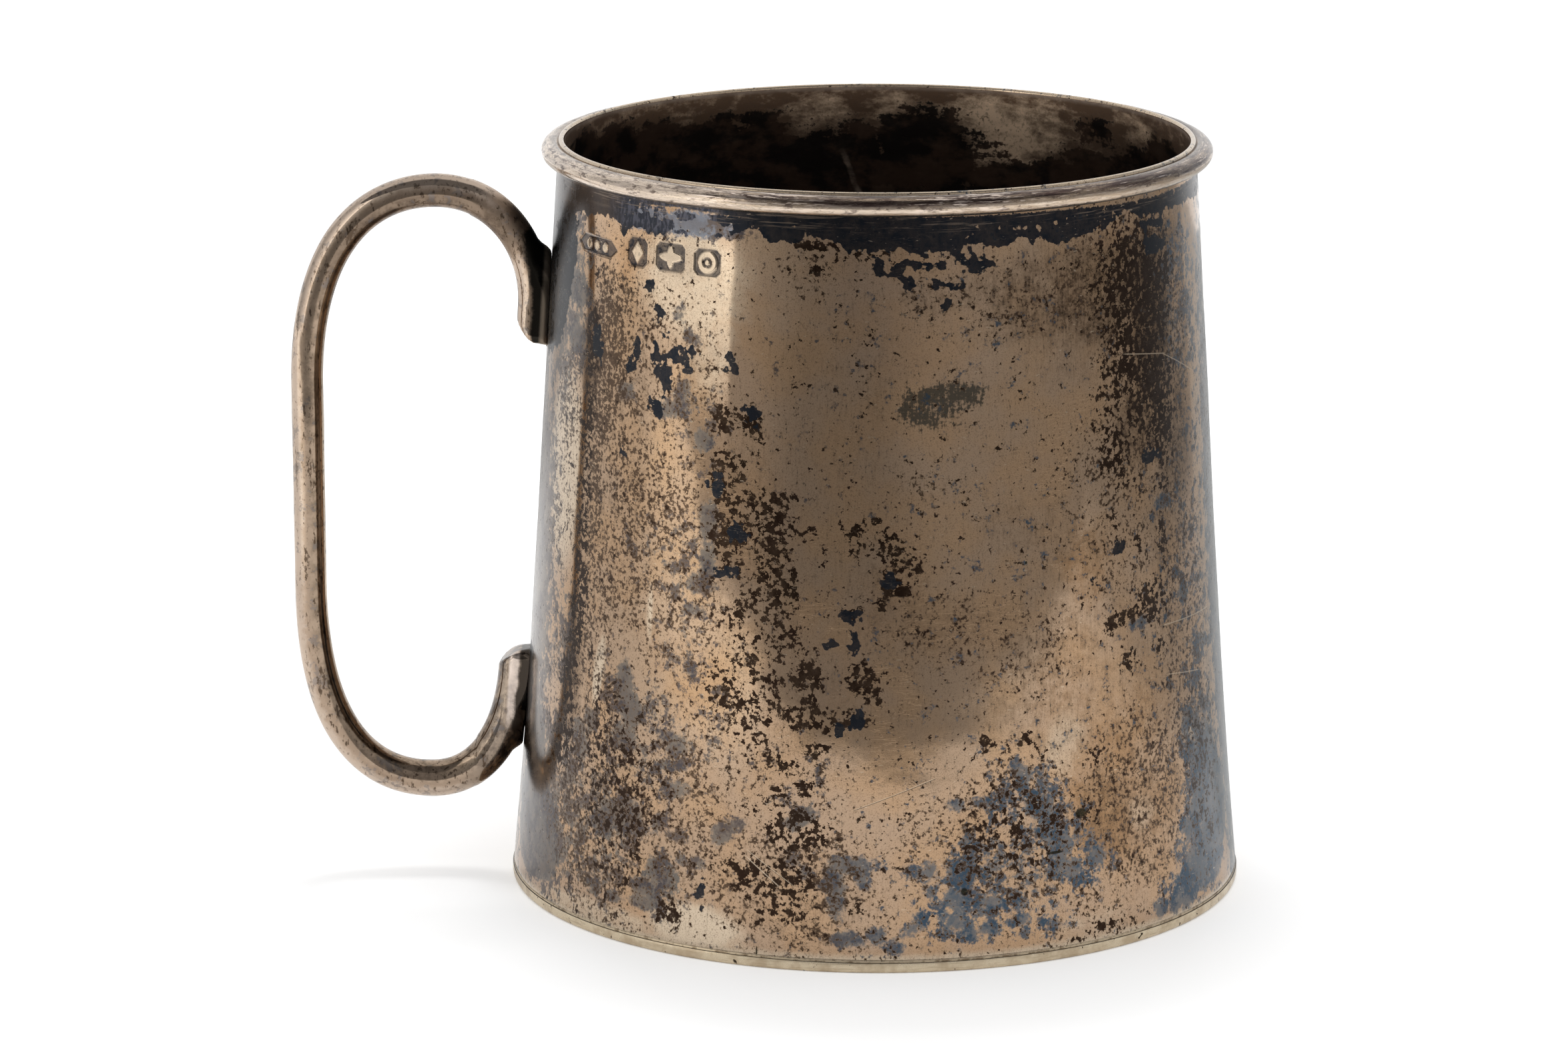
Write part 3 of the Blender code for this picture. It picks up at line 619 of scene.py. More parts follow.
wall_silver, shader, place = start_finish("wall_silver_tarnished", Metallic=1.0)
x, y, level = place.parts()
sweep = x.math("ARCTAN2", 0.0 - y)
ragged = place.grain(0.9, 5.0, 0.62) - 0.5
fine_ragged = place.grain(3.0, 3.0, 0.6) - 0.5
cloud = place.grain(0.16, 3.0, 0.55)
clot = place.grain(0.45, 3.0, 0.55)
dust = place.grain(8.0, 2.0, 0.5)
drawn = (place * (0.22, 0.22, 5.5)).grain(1.0, 4.0, 0.65)
brushed = (place * (4.5, 4.5, 0.5)).grain(1.0, 3.0, 0.6)

# Each mask is what was laid on as dabs, with its edge broken up by the noises above.
lobes = place.grain(1.2, 1.0, 0.4) - 0.5
soot_edge = (lobes * 1.7 + ragged * 0.9 + (clot - 0.5) * 1.1) * level.rise(71.2, 70.2)
# The dark band: tarnish, with painted shade just under the rim and a painted reflection of the handle beside
# its joints.
soot_and_shade_mask = (place.painted("soot") + soot_edge + fine_ragged * 0.6 + 0.08).rise(-0.05, 0.05)
slate_field = place.painted("slate") + ragged * 1.9 + fine_ragged + 0.08
slate_mask = slate_field.rise(-0.32, 0.18)
mottle_field = place.painted("mottle") * 0.62 + ragged * 1.4 + fine_ragged * 0.8 + (clot - 0.5) * 0.8 - 0.30
mottle_mask = mottle_field.rise(-0.10, 0.14)
net = place.grain(1.55, 4.0, 0.62) - 0.5
mesh_fine = place.grain(2.7, 3.0, 0.6) - 0.5
patchy = (clot - 0.5) * 1.2 + ragged * 0.4
clumps = place.painted("clumps") * 1.1 + patchy
specks = place.painted("specks") + patchy
clump_field = net + mesh_fine * 0.5 + clumps * 0.225 - 0.172
clump_mask = clump_field.rise(-0.008, 0.014)
clump_halo = clump_field.rise(-0.05, 0.01)
speck_field = mesh_fine + net * 0.5 + specks * 0.205 - 0.187
speck_mask = speck_field.rise(-0.012, 0.045)
speck_halo = speck_field.rise(-0.07, 0.02)
stray_mask = (place.grain(1.9, 2.0, 0.6) + (cloud - 0.5) * 0.2).rise(0.735, 0.76)
haze_field = place.painted("haze") * 0.9 + ragged + (brushed - 0.5) * 0.5 + fine_ragged * 0.4
haze_mask = haze_field.rise(0.1, 1.0)
dark_field = place.painted("haze") + ragged * 1.6 + fine_ragged * 1.4 + (brushed - 0.5) * 0.8
dark_mask = dark_field.rise(0.62, 1.25)
amber_mask = (place.painted("amber") + ragged * 1.3 + (cloud - 0.5) * 0.5).rise(0.15, 1.1)
clean_mask = (place.painted("clean") + ragged * 0.7).rise(0.15, 0.95)
smudge_field = place.painted("smudge") * 0.95 + fine_ragged * 2.2 + (brushed - 0.5) * 1.5 - 0.28
smudge_mask = smudge_field.rise(0.0, 0.5)

# The film is slate and blue on the right, ash and plum on the left, and pale blue under the rim. The
# dark band is hatched on the left and streaked along the top, where the wire was soldered on.
right_side = x.rise(-12.0, 4.0)
dull = right_side.blend(FILM_ASH, FILM_SLATE)
dull = level.rise(67.6, 68.4).blend(dull, FILM_PALE_BLUE)
deep = right_side.blend(FILM_PLUM, FILM_BLUE)
tone = (clot + fine_ragged * 0.5).rise(0.44, 0.60)
film_colour = tone.blend(dull, deep)
deep_in = (slate_field.rise(0.1, 0.9) * 0.4).blend(film_colour, deep)
band_streak = (drawn - 0.5).rise(0.05, 0.13) * level.rise(69.6, 70.6)
band_hatch = (place * (3.0, 3.0, 1.2)).grain(1.0, 2.0, 0.5, 0.4).rise(0.46, 0.62)
left_band = x.rise(-14.0, -16.0) * level.rise(68.0, 69.0)
soot_and_shade_colour = (left_band * (0.25 + band_hatch * 0.75)).blend(FILM_SOOT_AND_SHADE, SOOT_HATCHED)
soot_and_shade_colour = (left_band * x.rise(-23.5, -26.0)).blend(soot_and_shade_colour, SOOT_BROWN)
soot_and_shade_colour = (band_streak * 0.7).blend(soot_and_shade_colour, SOOT_STREAKED)


def pit(angle, height, wide, tall):
    """A mask of an oval hollow, or of a nick or a cut."""
    across = (sweep - math.radians(angle)) * PIT_GIRTH
    return (1.0 - (across / wide).hypot((level - height) / tall)).rise(-0.1, 0.35)


def scratch(start_angle, start, end_angle, end, width):
    """A mask of a fine scratch from one place to another, each given by its angle and height."""
    run = math.radians(end_angle - start_angle) * SCRATCH_GIRTH
    climb = end - start
    length = math.hypot(run, climb)
    across = (sweep - math.radians(start_angle)) * SCRATCH_GIRTH
    up = level - start
    along = (across * run + up * climb) / length
    off = abs((up * run - across * climb) / length)
    return (width - off).rise(-0.02, 0.04) * along.rise(-0.3, 0.4) * (length - along).rise(-0.3, 0.4)


# Over it all come pits, scratches, short bright dashes and hairlines from polishing.
hurts = functools.reduce(Link.most, [pit(*size) for size in PITS])
scratches = functools.reduce(Link.most, [scratch(*ends) for ends in SCRATCHES])
dashes = (place * (0.9, 0.9, 3.0)).grain(1.5, 2.0, 0.5).rise(0.70, 0.74)
hair = abs((place * (0.35, 0.35, 2.2)).grain(1.0, 2.0, 0.5, 0.4) - 0.5).rise(0.007, 0.0)
hair = hair * cloud.rise(0.48, 0.60)
laid_over(
    cloud.rise(0.35, 0.65).blend(SILVER, SILVER_WARM),
    (clean_mask, SILVER_CLEAN),
    (amber_mask * 0.75, FILM_AMBER),
    (haze_mask * 0.8, FILM_BROWN),
    (dark_mask * 0.9, FILM_DARK),
    (dust.rise(0.50, 0.68) * 0.34, FILM_BROWN),
    ((brushed - 0.5).rise(0.0, 0.2) * 0.12, FILM_BROWN),
    (smudge_mask * 0.85, FILM_GREY),
    (mottle_mask * 0.88, film_colour),
    (slate_mask * 0.88, deep_in),
    (speck_halo.most(clump_halo) * 0.6, FILM_HALO),
    (speck_mask * 0.8, FILM_WORM),
    (clump_mask.most(stray_mask) * (0.96 - ragged * 0.5), FILM_SPECK),
    (soot_and_shade_mask * (0.97 - ragged * 0.25), soot_and_shade_colour),
    (place.painted("punch_dirt") * (0.95 + ragged), PUNCH_DIRT),
    (place.painted("punch_raised") * 0.8, SILVER_CLEAN),
    (hurts * 0.9, PIT_BLACK),
    (scratches * 0.55, SILVER_CLEAN),
    ((hair * 0.12).most(dashes * 0.4), SILVER_CLEAN),
).feed(shader, "Base Color")

film = soot_and_shade_mask.most(clump_mask * 0.8).most(speck_mask * 0.6).most(hurts)
rough = 0.06 + cloud * 0.03 + haze_mask * 0.10 + slate_mask.most(mottle_mask) * 0.10
(rough + film * 0.14 + (dust - 0.5) * 0.08).feed(shader, "Roughness")
relief = 0.0 - hurts * 0.08 - scratches * 0.004 - hair * 0.0006
relief = relief + (drawn - 0.5) * 0.00015 + place.grain(0.35, 2.0, 0.5) * 0.008 + film * 0.001 + dust * 0.0004
bumped(relief, shader)

# Inside, the tarnish was never rubbed off: brown near the lip, painted darker further down as shade, and
# almost black below as painted shade of the deep inside.
INNER_BROWN = (0.16, 0.098, 0.060)
INNER_BRIGHT = (0.84, 0.62, 0.43)
INNER_FLECK = (0.13, 0.085, 0.058)
INNER_SHADE = (0.09, 0.06, 0.042)
INNER_DEEP_BLACK = (0.016, 0.012, 0.011)
INNER_DEEP_BROWN = (0.065, 0.038, 0.026)
INNER_STREAK = (0.40, 0.31, 0.24)
INNER_EDGE = (0.42, 0.33, 0.265)

inner_silver, shader, place = start_finish("inner_silver_tarnished", Metallic=0.8)
x, y, level = place.parts()
ragged = (place * (0.55, 0.55, 1.3)).grain(0.7, 5.0, 0.66) - 0.5
smoky = (place * (0.7, 0.7, 1.1)).grain(0.3, 4.0, 0.6)
fine = place.grain(2.6, 3.0, 0.6)
black_field = place.painted("blackened") + ragged * 4.8 + (fine - 0.5) * 1.8 + 0.15
# Besides the black dabs, everything below about 62 mm is black: painted shade of the deep inside.
black = black_field.rise(-0.28, 0.25).most(level.rise(64.5, 61.5))
brown_field = place.painted("browned") + ragged * 2.6 + (smoky - 0.5) * 1.6 + (fine - 0.5) * 0.8
browned = brown_field.rise(-0.1, 1.0)
# One pale streak slants down through the dark at the back.
streak_along = (66.9 - level) / 4.2
streak_off = abs(x + 3.1 - streak_along * 1.6 + (smoky - 0.5) * 1.5)
streak = (0.26 - streak_off).rise(-0.2, 0.15) * streak_along.rise(-0.1, 0.2)
streak = streak * streak_along.rise(1.4, 1.0) * y.rise(0.0, 1.0)
laid_over(
    browned.blend(INNER_BROWN, INNER_BRIGHT),
    (fine.rise(0.5, 0.66) * 0.5, INNER_FLECK),
    (level.rise(72.9, 67.5) * (0.72 - browned * 0.45), INNER_SHADE),
    (black * 0.97, smoky.rise(0.42, 0.58).blend(INNER_DEEP_BLACK, INNER_DEEP_BROWN)),
    (streak * (0.32 + ragged * 2.0), INNER_STREAK),
    (level.rise(72.9, 73.4) * (0.7 + ragged * 2.0), INNER_EDGE),
).feed(shader, "Base Color")
(0.44 + ragged * 0.3 - black * 0.12).feed(shader, "Roughness")
bumped(ragged * 0.02, shader)

wall.data.materials.append(wall_silver)
wall.data.materials.append(inner_silver)
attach(wall, "root")
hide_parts("body_wall")


# The base: a flat disc of the same sheet, soldered under the wall and filed flush with it.
# Its lower edge is worn round, and a fine line shows where the two meet.
BASE_TOP = 0.00102
BASE_RADIUS = FOOT_RADIUS - 0.00001
BASE_EDGE = 0.00034
BASE_MARGIN = 0.003
SOLDER_INSET = 0.00005
BASE_PALE = (0.68, 0.57, 0.41)
BASE_BROWN = (0.52, 0.41, 0.28)
BASE_STREAK = (0.30, 0.22, 0.13)
BASE_SPOT = (0.04, 0.03, 0.02)

plate = bmesh.new()
bmesh.ops.create_cone(
    plate, cap_ends=True, segments=ROUND_STEPS, radius1=BASE_RADIUS, radius2=BASE_RADIUS, depth=BASE_TOP
)
for side, eased, segments in ((-1.0, BASE_EDGE, 5), (1.0, SOLDER_INSET, 2)):
    edges = [edge for edge in plate.edges if all(vertex.co.z * side > 0.0 for vertex in edge.verts)]
    bmesh.ops.bevel(
        plate, geom=edges, offset=eased, segments=segments, profile=0.5, affect="EDGES", material=-1
    )
bmesh.ops.translate(plate, verts=plate.verts, vec=(0.0, 0.0, BASE_TOP / 2.0))
caps = [face for face in plate.faces if len(face.verts) == ROUND_STEPS]
for cap in caps:
    bmesh.ops.inset_individual(plate, faces=[cap], thickness=BASE_MARGIN)
bmesh.ops.recalc_face_normals(plate, faces=plate.faces)
for face in plate.faces:
    face.material_index = 1 if face.normal.z > 0.9 else 0

base_silver, shader, place = start_finish("base_silver_worn", Metallic=1.0)
wear = place.grain(0.5, 4.0, 0.6)
streak = (place * (0.4, 0.4, 7.0)).grain(1.0, 3.0, 0.6)
laid_over(
    wear.rise(0.4, 0.65).blend(BASE_PALE, BASE_BROWN),
    (streak.rise(0.52, 0.7) * 0.4, BASE_STREAK),
    (place.grain(1.3, 3.0, 0.6).rise(0.66, 0.70), BASE_SPOT),
).feed(shader, "Base Color")
(0.22 + wear * 0.12).feed(shader, "Roughness")
bumped(streak * 0.004 + wear * 0.006, shader)
base = piece_from(plate, "mug_base", base_silver, inner_silver)
base.data.set_sharp_from_angle(angle=math.radians(45.0))
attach(base, "root")
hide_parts("base_disc")

# The seam is filled with silver solder, a hair below the surface: pale, and browned here and there.
SEAM_LOW = 0.0008
SEAM_HIGH = 0.0013
SEAM_SINK = 0.000015
SEAM_DEPTH = 0.0004
SOLDER_BROWN = (0.26, 0.19, 0.12)
SOLDER_PALE = (0.60, 0.49, 0.34)

seam_face = wall_radius(WALL_FOOT) - SEAM_SINK
seam_back = seam_face - SEAM_DEPTH
outline = [(seam_face, SEAM_HIGH), (seam_face, SEAM_LOW), (seam_back, SEAM_LOW), (seam_back, SEAM_HIGH)]
seam = turned(outline, ROUND_STEPS)
seam_metal, shader, place = start_finish("seam_solder", Metallic=1.0, Roughness=0.35)
bare = place.grain(0.9, 4.0, 0.6).rise(0.36, 0.52)
bare.blend(SOLDER_BROWN, SOLDER_PALE).feed(shader, "Base Color")
solder = piece_from(seam, "base_solder", seam_metal)
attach(solder, "root")


# The rim: half-round wire, bent to a ring and soldered round the outside of the lip.
# It has had knocks all round, and is rubbed bright on its outer face.
RIM_BELOW_LIP = 0.0002
RIM_HEIGHT = 0.0020
RIM_PROJECTION = 0.0013
RIM_OVERLAP = 0.0001
RIM_EASE = 0.00012
SOLDER_GAP = 0.0003
RIM_STEPS = 20
KNOCK_DEPTH = 0.00006
KNOCK_GAIN = 1.6
KNOCK_INWARD = 0.6
KNOCK_DOWN = 0.8
KNOCK_UP = -0.3
KNOCK_SPACING = 0.0052
NICK_SPACING = 0.0019
KNOCKED_PROUD = 0.0004
RIM_GIRTH = 32.0
RIM_BROWN = (0.53, 0.405, 0.29)
RIM_PALE = (0.72, 0.59, 0.47)
RIM_BRIGHT = (0.86, 0.73, 0.61)
RIM_DARK = (0.085, 0.056, 0.050)
RIM_FLECK = (0.13, 0.09, 0.075)
RIM_LINE = (0.06, 0.045, 0.035)
RIM_GLINT = (0.92, 0.77, 0.66)
RIM_GROOVE = (0.075, 0.055, 0.042)
RIM_UNDER = (0.05, 0.048, 0.035)

rim_half = RIM_HEIGHT / 2.0
rim_middle = MUG_HEIGHT - RIM_BELOW_LIP - rim_half
rim_back = wall_radius(rim_middle) - RIM_OVERLAP
outline = []
for step in range(RIM_STEPS + 1):
    angle = math.pi * (0.5 - step / RIM_STEPS)
    outline.append((
        wall_radius(rim_middle) + SOLDER_GAP + RIM_PROJECTION * math.cos(angle),
        rim_middle + rim_half * math.sin(angle),
    ))
outline.append((rim_back, rim_middle - rim_half))
outline.append((rim_back, rim_middle + rim_half - RIM_EASE))
ring = turned(outline, ROUND_STEPS)
for vertex in ring.verts:
    proud = math.hypot(vertex.co.x, vertex.co.y) - wall_radius(rim_middle)
    stretched = Vector((vertex.co.x, vertex.co.y, vertex.co.z * 1.5))
    knock = noise.noise(stretched / KNOCK_SPACING) * 0.8 + noise.noise(stretched / NICK_SPACING) * 0.2
    knock = min(0.0, knock * KNOCK_DEPTH * KNOCK_GAIN) * min(1.0, max(0.0, proud / KNOCKED_PROUD))
    upward = Vector((0.0, 0.0, KNOCK_DOWN if vertex.co.z > rim_middle else KNOCK_UP))
    vertex.co += (outward_at(vertex.co) * KNOCK_INWARD + upward) * knock

rim_silver, shader, place = start_finish("rim_silver_worn", Metallic=1.0)
x, y, level = place.parts()
# The wire was drawn through a plate, so its marks run along it. Dirt and painted shade lie in the groove
# against the wall, and its underside is painted dark as shade.
reach = x.hypot(y)
sweep = x.math("ARCTAN2", 0.0 - y) * RIM_GIRTH
along = place.node("CombineXYZ", None, {0: sweep * 0.22, 1: level * 2.2, 2: reach * 2.2})
streak = along.grain(1.0, 4.0, 0.65)
line = along.grain(2.3, 3.0, 0.62, 0.3)
fleck = place.node("CombineXYZ", None, {0: sweep * 0.6, 1: level * 1.5, 2: reach * 1.5}).grain(1.2, 4.0, 0.65)
# Painted light and shade: the upper half is painted darker except at the far left, the left part is painted
# brighter, and the glints are painted highlights.
upper = level.rise(72.4, 72.9)
darker = x.rise(-22.0, -6.0) * 0.8
flecked = (x.rise(1.0, 4.0) * x.rise(14.0, 11.0)).most(x.rise(-20.0, -16.0) * x.rise(-5.0, -8.0))
glint = (line - 0.5 + flecked * 0.06).rise(0.09, 0.15) * (upper * 0.5 + flecked * 0.45)
groove = reach.rise(31.85, 31.4)
under = level.rise(71.95, 71.6)
laid_over(
    streak.rise(0.38, 0.62).blend(RIM_BROWN, RIM_PALE),
    (x.rise(-8.0, -22.0) * 0.6, RIM_BRIGHT),
    (upper * (darker + (streak - 0.5) * 3.2), RIM_DARK),
    ((fleck - 0.5 + upper * 0.05).rise(0.06, 0.16) * 0.8, RIM_FLECK),
    (abs(line - 0.5).rise(0.022, 0.0) * (0.3 + upper * 0.6), RIM_LINE),
    (glint, RIM_GLINT),
    (groove * 0.45, RIM_GROOVE),
    (under * (0.75 + streak * 0.4), RIM_UNDER),
).feed(shader, "Base Color")
(0.10 + fleck * 0.12 + under * 0.1).feed(shader, "Roughness")
bumped(streak * 0.016 + fleck * 0.008 - abs(line - 0.5).rise(0.02, 0.0) * 0.004, shader)
rim = piece_from(ring, "mug_rim", rim_silver)
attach(rim, "root")
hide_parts("rim_wire")


# The handle: stout round silver wire, bent cold to an ear, with a tight loop turned at its foot.
# Both tips are filed round and lie on the wall, each held by a fillet of silver solder.
RUN_WIRE_RADIUS = 0.00163
ARCH_WIRE_RADIUS = 0.00171
LOOP_WIRE_RADIUS = 0.00189
ARCH_BELOW_LIP = 0.0054
ARCH_OUT = 0.0117
RUN_OUT = 0.0197
RUN_TOP_BELOW_ARCH = 0.0192
LOOP_HEIGHT = 0.0090
LOOP_OUT = 0.0087
RUN_FOOT_ABOVE_LOOP = 0.0199
UPPER_TIP_BELOW_LIP = 0.0206
UPPER_SEAT_LENGTH = 0.0039
UPPER_SEAT_SINK = 0.0002
LOWER_TIP_HEIGHT = 0.0226
LOWER_SEAT_LENGTH = 0.0024
LOWER_SEAT_SINK = 0.0008
LOWER_SEAT_SLANT = 0.09
UPPER_FILED = (0.0025, 0.0024)
LOWER_FILED = (0.0021, 0.0026)
FILED_FULLNESS = 1.4
FACET_ANGLE = math.radians(27.0)
FACET_REACH = 0.965
SHOULDER_FULLNESS = (0.52, 0.67)
BROW_FULLNESS = (0.54, 0.71)
HEEL_FULLNESS = (0.79, 0.50)
CUP_FULLNESS = (0.56, 0.57)
TIP_REACH = 0.003
TIP_RINGS = (0.84, 0.78, 0.7, 0.55, 0.3)
FILED_FROM = -0.006
FILED_TO = 0.001
TIP_ROUNDING = 0.0011
TIP_FLAT = 0.0007
FACET_START = 0.0034
FACET_FADE = 0.0020
UPPER_FILLET_REACH = 0.0014
LOWER_FILLET_REACH = 0.0010
FILLET_SPREAD = 0.0004
FILLET_MIDDLE = 0.0002
FILLET_SETTLED = 0.45
FILLET_HOLD = 0.96
WIRE_SUNK = 0.6
WIRE_FREE_FROM = 0.0395
BEND_SPACING = 0.006
BEND_DEPTH = 0.00003
BEND_SINK = 0.00006

arch_height = MUG_HEIGHT - ARCH_BELOW_LIP
upper_tip = MUG_HEIGHT - UPPER_TIP_BELOW_LIP
upper_seat = upper_tip + UPPER_SEAT_LENGTH
lower_seat = LOWER_TIP_HEIGHT - LOWER_SEAT_LENGTH
upper_out = RUN_WIRE_RADIUS - UPPER_SEAT_SINK
seat_out = wall_radius(lower_seat) + LOOP_WIRE_RADIUS - LOWER_SEAT_SINK
up_wall = Vector((wall_radius(upper_seat) - wall_radius(upper_tip), UPPER_SEAT_LENGTH)).normalized()
up_slant = Vector((-LOWER_SEAT_SLANT, 1.0)).normalized()
run_out = FOOT_RADIUS + RUN_OUT
arch_out = wall_radius(arch_height) + ARCH_OUT
loop_out = wall_radius(LOOP_HEIGHT) + LOOP_OUT
lower_tip_out = seat_out - LOWER_SEAT_SLANT * LOWER_SEAT_LENGTH
outwards, downwards, inwards = Vector((1.0, 0.0)), Vector((0.0, -1.0)), Vector((-1.0, 0.0))
# Each station of the line: how far out, how high, the wire's radius, its way, and the bend that follows.
stations = [
    (Vector((centre_out, height)), wire_radius, way, fullness)
    for centre_out, height, wire_radius, way, fullness in [
        (wall_radius(upper_tip) + upper_out, upper_tip, RUN_WIRE_RADIUS, up_wall, None),
        (wall_radius(upper_seat) + upper_out, upper_seat, RUN_WIRE_RADIUS, up_wall, SHOULDER_FULLNESS),
        (arch_out, arch_height, ARCH_WIRE_RADIUS, outwards, BROW_FULLNESS),
        (run_out, arch_height - RUN_TOP_BELOW_ARCH, RUN_WIRE_RADIUS, downwards, None),
        (run_out, LOOP_HEIGHT + RUN_FOOT_ABOVE_LOOP, RUN_WIRE_RADIUS, downwards, HEEL_FULLNESS),
        (loop_out, LOOP_HEIGHT, LOOP_WIRE_RADIUS, inwards, CUP_FULLNESS),
        (seat_out, lower_seat, LOOP_WIRE_RADIUS, up_slant, None),
        (lower_tip_out, LOWER_TIP_HEIGHT, LOOP_WIRE_RADIUS, up_slant, None),
    ]
]

curve = bpy.data.curves.new("handle_line", "CURVE")
curve.dimensions = "3D"
curve.bevel_depth = RUN_WIRE_RADIUS
curve.bevel_resolution = 10
curve.resolution_u = 44
spline = curve.splines.new("BEZIER")
spline.bezier_points.add(len(stations) - 1)
arms = []
for (start, _, start_way, fullness), (end, _, end_way, _) in zip(stations, stations[1:]):
    if fullness is None:
        arms.append(((end - start).length / 3.0,) * 2)
    else:
        span = end - start
        arms.append((abs(span.dot(start_way)) * fullness[0], abs(span.dot(end_way)) * fullness[1]))
arms.append(arms[-1])
for index, (centre, wire_radius, way, _) in enumerate(stations):
    point = spline.bezier_points[index]
    before = arms[index - 1][1] if index > 0 else arms[0][0]
    corners = [centre, centre - way * before, centre + way * arms[index][0]]
    point.handle_left_type = "FREE"
    point.handle_right_type = "FREE"
    point.co, point.handle_left, point.handle_right = [Vector((-spot.x, 0.0, spot.y)) for spot in corners]
    point.radius = wire_radius / RUN_WIRE_RADIUS
line = bpy.data.objects.new("handle_line", curve)
bpy.context.scene.collection.objects.link(line)
bpy.context.view_layer.update()
tube = bpy.data.meshes.new_from_object(line.evaluated_get(bpy.context.evaluated_depsgraph_get()))
bpy.data.objects.remove(line, do_unlink=True)
wire = bmesh.new()
wire.from_mesh(tube)
bpy.data.meshes.remove(tube)
bmesh.ops.remove_doubles(wire, verts=wire.verts, dist=0.000002)

# Each open end is closed by rings that shrink to its middle.
for tip_height in (upper_tip, LOWER_TIP_HEIGHT):
    open_edges = [edge for edge in wire.edges if edge.is_boundary]
    open_edges = [edge for edge in open_edges if abs(edge.verts[0].co.z - tip_height) < TIP_REACH]
    for shrink in TIP_RINGS:
        grown = bmesh.ops.extrude_edge_only(wire, edges=open_edges)["geom"]
        ring_verts = [item for item in grown if isinstance(item, bmesh.types.BMVert)]
        middle = sum((vertex.co for vertex in ring_verts), Vector()) / len(ring_verts)
        for vertex in ring_verts:
            vertex.co = middle + (vertex.co - middle) * shrink
        open_edges = [item for item in grown if isinstance(item, bmesh.types.BMEdge) and item.is_boundary]
    bmesh.ops.contextual_create(wire, geom=open_edges)

# The tips are filed: over their backs first, then round their ends, and flat on each side of the lower one.
tips = [
    (stations[0][0], RUN_WIRE_RADIUS, -up_wall, UPPER_FILED),
    (stations[-1][0], LOOP_WIRE_RADIUS, up_slant, LOWER_FILED),
]
for vertex in wire.verts:
    for centre, wire_radius, way, (filed_along, filed_across) in tips:
        outward = Vector((abs(way.y), -way.x * math.copysign(1.0, way.y)))
        spot = Vector((-vertex.co.x, vertex.co.z)) - centre
        along, out = spot.dot(way), spot.dot(outward)
        if not FILED_FROM <= along <= FILED_TO or abs(out) > wire_radius * 1.5:
            continue
        side = vertex.co.y
        beyond, proud = along + filed_along, out - (wire_radius - filed_across)
        if beyond > 0.0 and proud > 0.0:
            over = (beyond / filed_along) ** FILED_FULLNESS + (proud / filed_across) ** FILED_FULLNESS
            over = over ** (1.0 / FILED_FULLNESS)
            if over > 1.0:
                beyond, proud = beyond / over, proud / over
        along, out = beyond - filed_along, proud + (wire_radius - filed_across)
        beyond, aside = along + TIP_ROUNDING, abs(side) - TIP_FLAT
        if beyond > 0.0 and aside > 0.0:
            over = math.hypot(beyond / TIP_ROUNDING, aside / (wire_radius - TIP_FLAT))
            if over > 1.0:
                beyond, aside = beyond / over, aside / over
                along, side = beyond - TIP_ROUNDING, math.copysign(aside + TIP_FLAT, side)
        if centre.y < MUG_HEIGHT / 2.0 and abs(side) > 0.0:
            proud = abs(side) * math.cos(FACET_ANGLE) + out * math.sin(FACET_ANGLE)
            cut = max(0.0, proud - wire_radius * FACET_REACH)
            cut *= min(1.0, max(0.0, (along + FACET_START) / FACET_FADE))
            out -= cut * math.sin(FACET_ANGLE)
            side -= math.copysign(cut * math.cos(FACET_ANGLE), side)
        spot = centre + way * along + outward * out
        vertex.co = Vector((-spot.x, side, spot.y))

# Solder draws the wire's foot out on to the wall, and the bending left faint flats elsewhere.
for vertex in wire.verts:
    off_wall = stand_off(vertex.co)
    fillet_reach = UPPER_FILLET_REACH if vertex.co.z > MUG_HEIGHT / 2.0 else LOWER_FILLET_REACH
    if off_wall < fillet_reach:
        outward = outward_at(vertex.co)
        near = min(1.0, 1.0 - off_wall / fillet_reach)
        settled = min(1.0, near / FILLET_SETTLED)
        if abs(vertex.co.y) > FILLET_MIDDLE:
            vertex.co.y += math.copysign(FILLET_SPREAD * near ** 2, vertex.co.y)
        vertex.co -= outward * max(0.0, off_wall) * settled ** 2 * (3.0 - 2.0 * settled) * FILLET_HOLD
    reach = math.hypot(vertex.co.x, vertex.co.y)
    floor_reach = wall_radius(vertex.co.z) - WALL_THICKNESS * WIRE_SUNK
    if reach < floor_reach:
        vertex.co.x *= floor_reach / reach
        vertex.co.y *= floor_reach / reach
    if reach > WIRE_FREE_FROM:
        vertex.co += vertex.normal * (noise.noise(vertex.co / BEND_SPACING) * BEND_DEPTH - BEND_SINK)
bmesh.ops.recalc_face_normals(wire, faces=wire.faces)
wire.normal_update()

# Hands rub the outside of the loop bright, and near the wall the side that faces away from it is painted
# lighter as painted light.
# Its inside and the sides by the wall stay black: tarnish, with painted shade and a painted reflection of the
# dark wall.
EAR_MIDDLE = Vector((-0.0440, 0.0, 0.0380))
SHELTER_REACH = 0.0050
SHELTER_TOP = 0.0660
SHELTER_FADE = 0.003
CUP_SHELTER_REACH = 0.016
SEAT_REACH = 0.0011
HANDLE_PALE = (0.46, 0.342, 0.252)
HANDLE_TAN = (0.35, 0.252, 0.178)
HANDLE_WORN_AND_LIT = (0.70, 0.58, 0.48)
HANDLE_FILM = (0.42, 0.315, 0.23)
HANDLE_FILM_DARK = (0.24, 0.178, 0.125)
ARCH_FILM = (0.27, 0.20, 0.145)
ARCH_FILM_DARK = (0.14, 0.10, 0.072)
INNER_RUN_LIGHT = (0.80, 0.62, 0.46)
CUP_TAN = (0.34, 0.27, 0.21)
CUP_DARK = (0.10, 0.08, 0.068)
HANDLE_CLOUD = (0.14, 0.14, 0.15)
HANDLE_STREAK = (0.10, 0.068, 0.046)
HANDLE_FLECK = (0.09, 0.060, 0.040)
LOWER_CRUST_AND_SHADE = (0.050, 0.040, 0.032)
